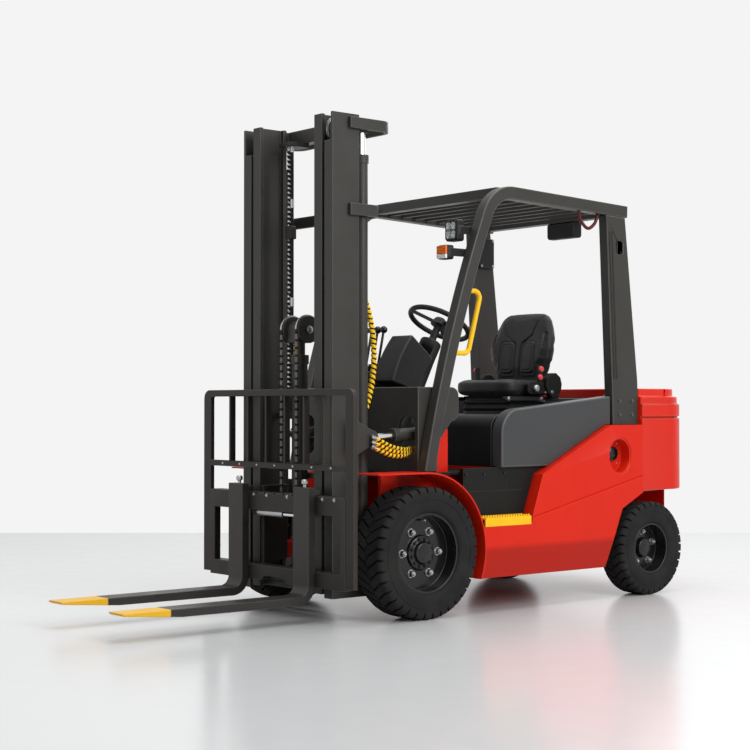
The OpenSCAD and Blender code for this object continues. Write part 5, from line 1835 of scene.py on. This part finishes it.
@dataclass(frozen=True)
class Guard:
    """Overhead guard with its grab handle, lamps and cable.

    Attributes:
        body: Body of the guard.
        inside_y: Inner side of the legs.
        work_x: Front of a work lamp's housing.
        work_z: Height of the work lamps.
        turn_x: Front of a turn lamp's housing.
        turn_z: Height of the turn lamps.
        lamp_y: Inner edge of the lamps.
    """

    body: str = "chassis"
    inside_y: float = 496.0
    work_x: float = 0.0
    work_z: float = 1921.0
    turn_x: float = 0.0
    turn_z: float = 1806.0
    lamp_y: float = 400.0

    @classmethod
    def from_frame(cls, shop: Shop) -> Guard:
        """Reads the lamps' lengthwise places from the lenses' boxes.

        Args:
            shop: Maker of pieces.

        Returns:
            The guard.
        """
        lenses = shop.nodes["lamp_lenses"].data
        points = np.empty(len(lenses.vertices) * 3)
        lenses.vertices.foreach_get("co", points)
        points = points.reshape(-1, 3)
        x = (points[:, 0] - shop.axle_x) / MM
        high = points[:, 2] / MM > 1860
        return cls(work_x=float(x[high].min()), turn_x=float(x[~high].min()))

    def build(self, shop: Shop) -> None:
        """Rounds and dresses the guard and makes its lamps.

        Args:
            shop: Maker of pieces.
        """
        for node, width in (("guard_front", 6.0), ("guard_roof", 3.0), ("guard_rear", 5.0)):
            shop.rounded(node, CHARCOAL_COAT, width)
        shop.rounded("lamps", BLACK_ABS, 3.0)
        shop.dress("grab_handle", YELLOW_PAINT)
        self.work_lamps(shop)
        self.turn_lamps(shop)
        self.cable(shop)
        self.bolts(shop)

    def work_lamps(self, shop: Shop) -> None:
        """Four plated bowls behind a clear lens, in a black bezel, on each side.

        Args:
            shop: Maker of pieces.
        """
        low = (self.lamp_y + 6, self.work_z - 49)
        high = (self.inside_y - 12, self.work_z + 49)
        y, z = (low[0] + high[0]) / 2, self.work_z
        bowl = [(0, 1.0), (4, 1.0), (8, 1.6), (13, 3.4), (17.5, 6.4), (18.5, 6.4), (18.5, 0.3), (0, 0.3)]
        seats = [(self.work_x, y + 19.5 * a, z + 22 * b) for a in (-1, 1) for b in (-1, 1)]
        bowls = Form.turned(bowl, (0, 0, 0), (1, 0, 0), 32).copies(seats)
        shop.piece("work_lamp_bowls", bowls.both(), REFLECTOR, self.body)
        diode = [(0, 1.2), (4.5, 1.2), (3.6, 3.6), (0, 4.4)]
        diodes = Form.turned(diode, (0, 0, 0), (1, 0, 0), 16).copies(seats)
        shop.piece("work_lamp_diodes", diodes.both(), WHITE_LENS, self.body)
        outside = soft_rect(low, high, 10)
        inside = soft_rect((low[0] + 5, low[1] + 5), (high[0] - 5, high[1] - 5), 7)
        loop = np.stack([outside, outside, inside, inside])
        x = np.array([0.3, 9.0, 9.0, 0.3]) + self.work_x
        points = np.concatenate([np.broadcast_to(x[:, None, None], (4, len(outside), 1)), loop], axis=-1)
        bezel = Form.grid(points, ring=True)
        shop.piece("work_lamp_bezels", bezel.both(), BLACK_ABS, self.body, bevel_mm=1)
        pane = Form.slab(inside, self.work_x + 7.0, self.work_x + 8.4, Plane.FRONT)
        shop.piece("work_lamp_lenses", pane.both(), CLEAR_LENS, self.body, ["lamp_lenses"])

    def turn_lamps(self, shop: Shop) -> None:
        """Amber lens over a white strip, both with flutes across, on each side.

        Depth = a half-round flute every 8 mm of height.

        Args:
            shop: Maker of pieces.
        """
        low, high = self.lamp_y + 20, self.inside_y - 10
        for name, z0, z1, finish in (
            ("turn_lamp_amber", self.turn_z - 10, self.turn_z + 32, AMBER_LENS),
            ("turn_lamp_white", self.turn_z - 32, self.turn_z - 11, WHITE_LENS),
        ):
            z = np.linspace(z0, z1, 41)
            front = 10 + 2.0 * np.abs(np.sin(np.pi * (z - z0) / 8.0))
            front[[0, -1]] = 5.0
            side = np.column_stack([np.concatenate([[0.3], front, [0.3]]), np.concatenate([[z0], z, [z1]])])
            lens = Form.slab(side + np.array([self.turn_x, 0.0]), low, high, Plane.SIDE)
            shop.piece(name, lens.both(), finish, self.body)

    def cable(self, shop: Shop) -> None:
        """A sleeved cable that loops under the left rail from clip to clip.

        Args:
            shop: Maker of pieces.
        """
        y = 520.0
        front = [(-1150, y, 2098), (-1160, y, 2070), (-1180, y, 2024), (-1232, y, 1990)]
        rear = [(-1285, y, 2020), (-1306, y, 2066), (-1312, y, 2092)]
        path = smooth_path(front + rear, 60)
        shop.piece("rail_cable", Form.swept(path, ring(9.0, 14)), RED_CORD, self.body)
        clip = Form.slab(soft_rect((-16, -12), (16, 10), 5), 508, 532, Plane.SIDE)
        clips = clip.copies([[-1150, 0, 2092], [-1312, 0, 2086]])
        shop.piece("rail_clips", clips, BLACK_ABS, self.body, bevel_mm=2)

    def bolts(self, shop: Shop) -> None:
        """Bolts at the feet of the legs and on the relay box, and darker strips on the rear legs that paint
        the shade in their grooves.

        Args:
            shop: Maker of pieces.
        """
        head = hex_bolt((0, 0, 0), 10, 8, (0, 1, 0))
        feet = [(-1440, 558.2, 985), (-1540, 558.2, 985), (-1440, 558.2, 1060), (-1540, 558.2, 1060)]
        # The heads take the coat's lighter edge finish, whose lightness is a painted highlight.
        shop.piece("leg_bolts", head.copies(feet).both(), CHARCOAL_COAT.worn(0.4), self.body)
        box = hex_bolt((0, 0, 0), 6, 5, (0, 1, 0))
        seats = [(x, -474.0, z) for x in (-1482, -1392) for z in (1864, 2014)]
        shop.piece("relay_screws", box.copies(seats), ZINC, self.body)
        # Painted shade: a darker raised strip lies where each groove is.
        strip = Form.slab(soft_rect((-5, 1180), (5, 1980), 4), 557.5, 560.5, Plane.SIDE)
        lean = strip.points[:, 2] - 1147
        strip.points[:, 0] += lean * 42 / 953
        rows = strip.copies([[-1400, 0, 0], [-1420, 0, 0]])
        shop.piece("leg_groove_painted_shade", rows.both(), CARRIAGE_COAT, self.body, bevel_mm=1)


@dataclass(frozen=True)
class Controls:
    """Steering wheel, column, levers and their bellows.

    Attributes:
        column_foot: Lengthwise place of the column's foot.
        floor_z: Height of the floor.
        lean_deg: Backward lean of the column.
        run: Length from the floor to the steering wheel.
        lever_x: Lengthwise place of the levers.
        lever_z: Height of the console.
        lever_y: Sideways places of the levers.
    """

    column_foot: float = -175.0
    floor_z: float = 702.0
    lean_deg: float = 30.0
    run: float = 880.0
    lever_x: float = -320.0
    lever_z: float = 1215.2
    lever_y: tuple[float, ...] = (-160.0, -210.0, -260.0, -310.0)

    def build(self, shop: Shop) -> None:
        """Rounds and dresses the controls.

        Args:
            shop: Maker of pieces.
        """
        shop.rounded("steering_column", BLACK_ABS, 8.0)
        shop.rounded("steering_wheel", BLACK_ABS, 3.0)
        shop.dress("levers", BLACK_GLOSS)
        self.bellows(shop)
        self.wheel_cap(shop)

    def bellows(self, shop: Shop) -> None:
        """Rubber bellows round each lever's foot: a cone whose radius ripples five times.

        Args:
            shop: Maker of pieces.
        """
        z = np.linspace(0, 42, 41)
        radius = 24 - 10 * z / 42 + 2.2 * np.cos(2 * np.pi * z / 8.4)
        profile = np.vstack([[0, 0], np.column_stack([radius, z]), [0, 42]])
        boot = Form.turned(profile, (0, 0, 0), (0, 0, 1), 28)
        seats = [(self.lever_x, y, self.lever_z) for y in self.lever_y]
        shop.piece("lever_bellows", boot.copies(seats), FLOOR_MAT, "chassis", sharp_deg=60)

    def wheel_cap(self, shop: Shop) -> None:
        """Domed cap on the steering wheel's hub, and its spinner knob on the rim.

        Args:
            shop: Maker of pieces.
        """
        lean = math.radians(self.lean_deg)
        up = np.array([-math.sin(lean), 0.0, math.cos(lean)])
        out = np.array([math.cos(lean), 0.0, math.sin(lean)])
        hub = np.array([self.column_foot, 0.0, self.floor_z]) + self.run * up
        cap = Form.turned([(0, 33.5), (33, 33.5), (32, 38), (26, 43), (14, 46), (0, 47)], hub, up, 40)
        seat = hub + 166 * (0.5 * np.array([0, 1.0, 0]) - 0.866 * out) + 24 * up
        grip = [(0, 0), (9, 0), (8, 14), (19, 20), (22, 34), (19, 46), (10, 52), (0, 53)]
        knob = Form.turned(grip, seat, up, 28)
        shop.piece("steering_cap", cap + knob, BLACK_GLOSS, "steering_wheel", sharp_deg=60)


@dataclass(frozen=True)
class PhotoCamera:
    """Camera fitted to the photograph, placed from the front axle.

    Attributes:
        ahead: Distance in front of the front axle, along X.
        left: Distance to the driver's left, along Y.
        height: Height over the floor.
        heading_deg: Direction of view, anticlockwise from X.
        pitch_deg: Upward tilt of the view.
        lens_mm: Focal length on a 36 mm wide sensor.
    """

    ahead: float = 5.1553
    left: float = 6.3896
    height: float = 1.0390
    heading_deg: float = 230.180
    pitch_deg: float = 1.071
    lens_mm: float = 76.737

    def forward(self) -> Vector:
        """Unit vector of the direction of view."""
        yaw, tilt = math.radians(self.heading_deg), math.radians(self.pitch_deg)
        return Vector((math.cos(yaw) * math.cos(tilt), math.sin(yaw) * math.cos(tilt), math.sin(tilt)))

    def build(self, axle_x: float) -> bpy.types.Object:
        """Makes the camera and gives it to the scene.

        Args:
            axle_x: X of the front axle in the shared frame.

        Returns:
            The camera object.
        """
        data = bpy.data.cameras.new("photo_camera")
        data.sensor_width = 36.0
        data.lens = self.lens_mm
        camera = bpy.data.objects.new("photo_camera", data)
        bpy.context.scene.collection.objects.link(camera)
        camera.location = (axle_x + self.ahead, self.left, self.height)
        camera.rotation_mode = "QUATERNION"
        camera.rotation_quaternion = self.forward().to_track_quat("-Z", "Y")
        bpy.context.scene.camera = camera
        return camera


@dataclass(frozen=True)
class Studio:
    """Pale floor, pale surround and soft lamps.

    Attributes:
        floor_half: Half the side of the square floor.
        floor_colour: sRGB hex of the polished floor.
        wall_colour: sRGB hex of what lies behind.
        surround: Strength of the even light from all round.
    """

    floor_half: float = 4.62
    floor_colour: str = "#d5d6d7"
    wall_colour: str = "#f4f4f4"
    surround: float = 0.34

    def build(self, heading_deg: float) -> None:
        """Makes the floor, the world and the lamps.

        Args:
            heading_deg: Direction of the main view, which the floor is square to.
        """
        self.floor(heading_deg)
        self.world()
        self.lamp("side_softbox", (-0.5, 7.5, 4.6), 450.0, 5.0)
        self.lamp("front_softbox", (7.5, -2.0, 4.5), 80.0, 5.0)
        self.lamp("back_softbox", (-6.5, -2.0, 5.5), 190.0, 5.0)
        self.lamp("top_softbox", (-0.5, 0.5, 7.0), 340.0, 6.0)

    def floor(self, heading_deg: float) -> None:
        """A square of polished floor, square to the main view.

        Args:
            heading_deg: Direction of the main view.
        """
        h = self.floor_half
        yaw = math.radians(heading_deg)
        corners = np.array([[-h, -h], [h, -h], [h, h], [-h, h]])
        turn = np.array([[math.cos(yaw), -math.sin(yaw)], [math.sin(yaw), math.cos(yaw)]])
        flat = np.column_stack([corners @ turn.T, np.zeros(4)])
        mesh = bpy.data.meshes.new("floor")
        mesh.from_pydata(flat.tolist(), [], [(0, 1, 2, 3)])
        floor = bpy.data.objects.new("floor", mesh)
        bpy.context.scene.collection.objects.link(floor)
        # Polished concrete: pale and even, with a soft reflection of what stands on it.
        finish = Finish(
            "polished_concrete", self.floor_colour, 0.2, 40.0, 0.0, specular=0.5, drift=0.004, smudge=0.01
        )
        mesh.materials.append(finish.build())

    def world(self) -> None:
        """Even surround light; the camera and reflections see the wall colour."""
        world = bpy.data.worlds.new("studio_surround")
        bpy.context.scene.world = world
        world.use_nodes = True
        tree = world.node_tree
        tree.nodes.clear()
        path = add(tree, "ShaderNodeLightPath")
        lit = add(tree, "ShaderNodeBackground", {"Color": linear("#ffffff"), "Strength": self.surround})
        seen = add(tree, "ShaderNodeBackground", {"Color": linear(self.wall_colour), "Strength": 1.0})
        wide = add(
            tree,
            "ShaderNodeMath",
            {"operation": "MAXIMUM"},
            {0: path.outputs["Is Camera Ray"], 1: path.outputs["Is Glossy Ray"]},
        )
        clear = add(
            tree,
            "ShaderNodeMath",
            {"operation": "MAXIMUM"},
            {0: wide.outputs[0], 1: path.outputs["Is Transmission Ray"]},
        )
        mix = add(
            tree,
            "ShaderNodeMixShader",
            links={0: clear.outputs[0], 1: lit.outputs[0], 2: seen.outputs[0]},
        )
        add(tree, "ShaderNodeOutputWorld", links={"Surface": mix.outputs[0]})

    def lamp(self, name: str, place: Sequence[float], watts: float, side: float) -> None:
        """One square softbox that faces the middle of the truck.

        Args:
            name: Name of the lamp.
            place: Its position.
            watts: Its power.
            side: Its side length.
        """
        data = bpy.data.lights.new(name, "AREA")
        data.energy = watts
        data.size = side
        lamp = bpy.data.objects.new(name, data)
        bpy.context.scene.collection.objects.link(lamp)
        lamp.location = place
        aim = Vector((0.0, 0.0, 0.9)) - Vector(place)
        lamp.rotation_mode = "QUATERNION"
        lamp.rotation_quaternion = aim.to_track_quat("-Z", "Y")


def main() -> None:
    """Builds the whole scene around the frame."""
    logging.basicConfig(level=logging.INFO)
    for stray in list(bpy.data.objects):
        bpy.data.objects.remove(stray)
    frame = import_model()
    shop = Shop(frame)
    camera = PhotoCamera()
    camera.build(shop.axle_x)
    Studio().build(camera.heading_deg)
    bpy.context.scene.view_settings.view_transform = "Standard"
    Body().build(shop)
    Wheels().build(shop)
    Mast().build(shop)
    Forks().build(shop)
    Guard.from_frame(shop).build(shop)
    Controls().build(shop)
    Seat().build(shop)
    LOG.info("all new pieces: %d triangles before modifiers", shop.triangles)


if __name__ == "__main__":
    main()
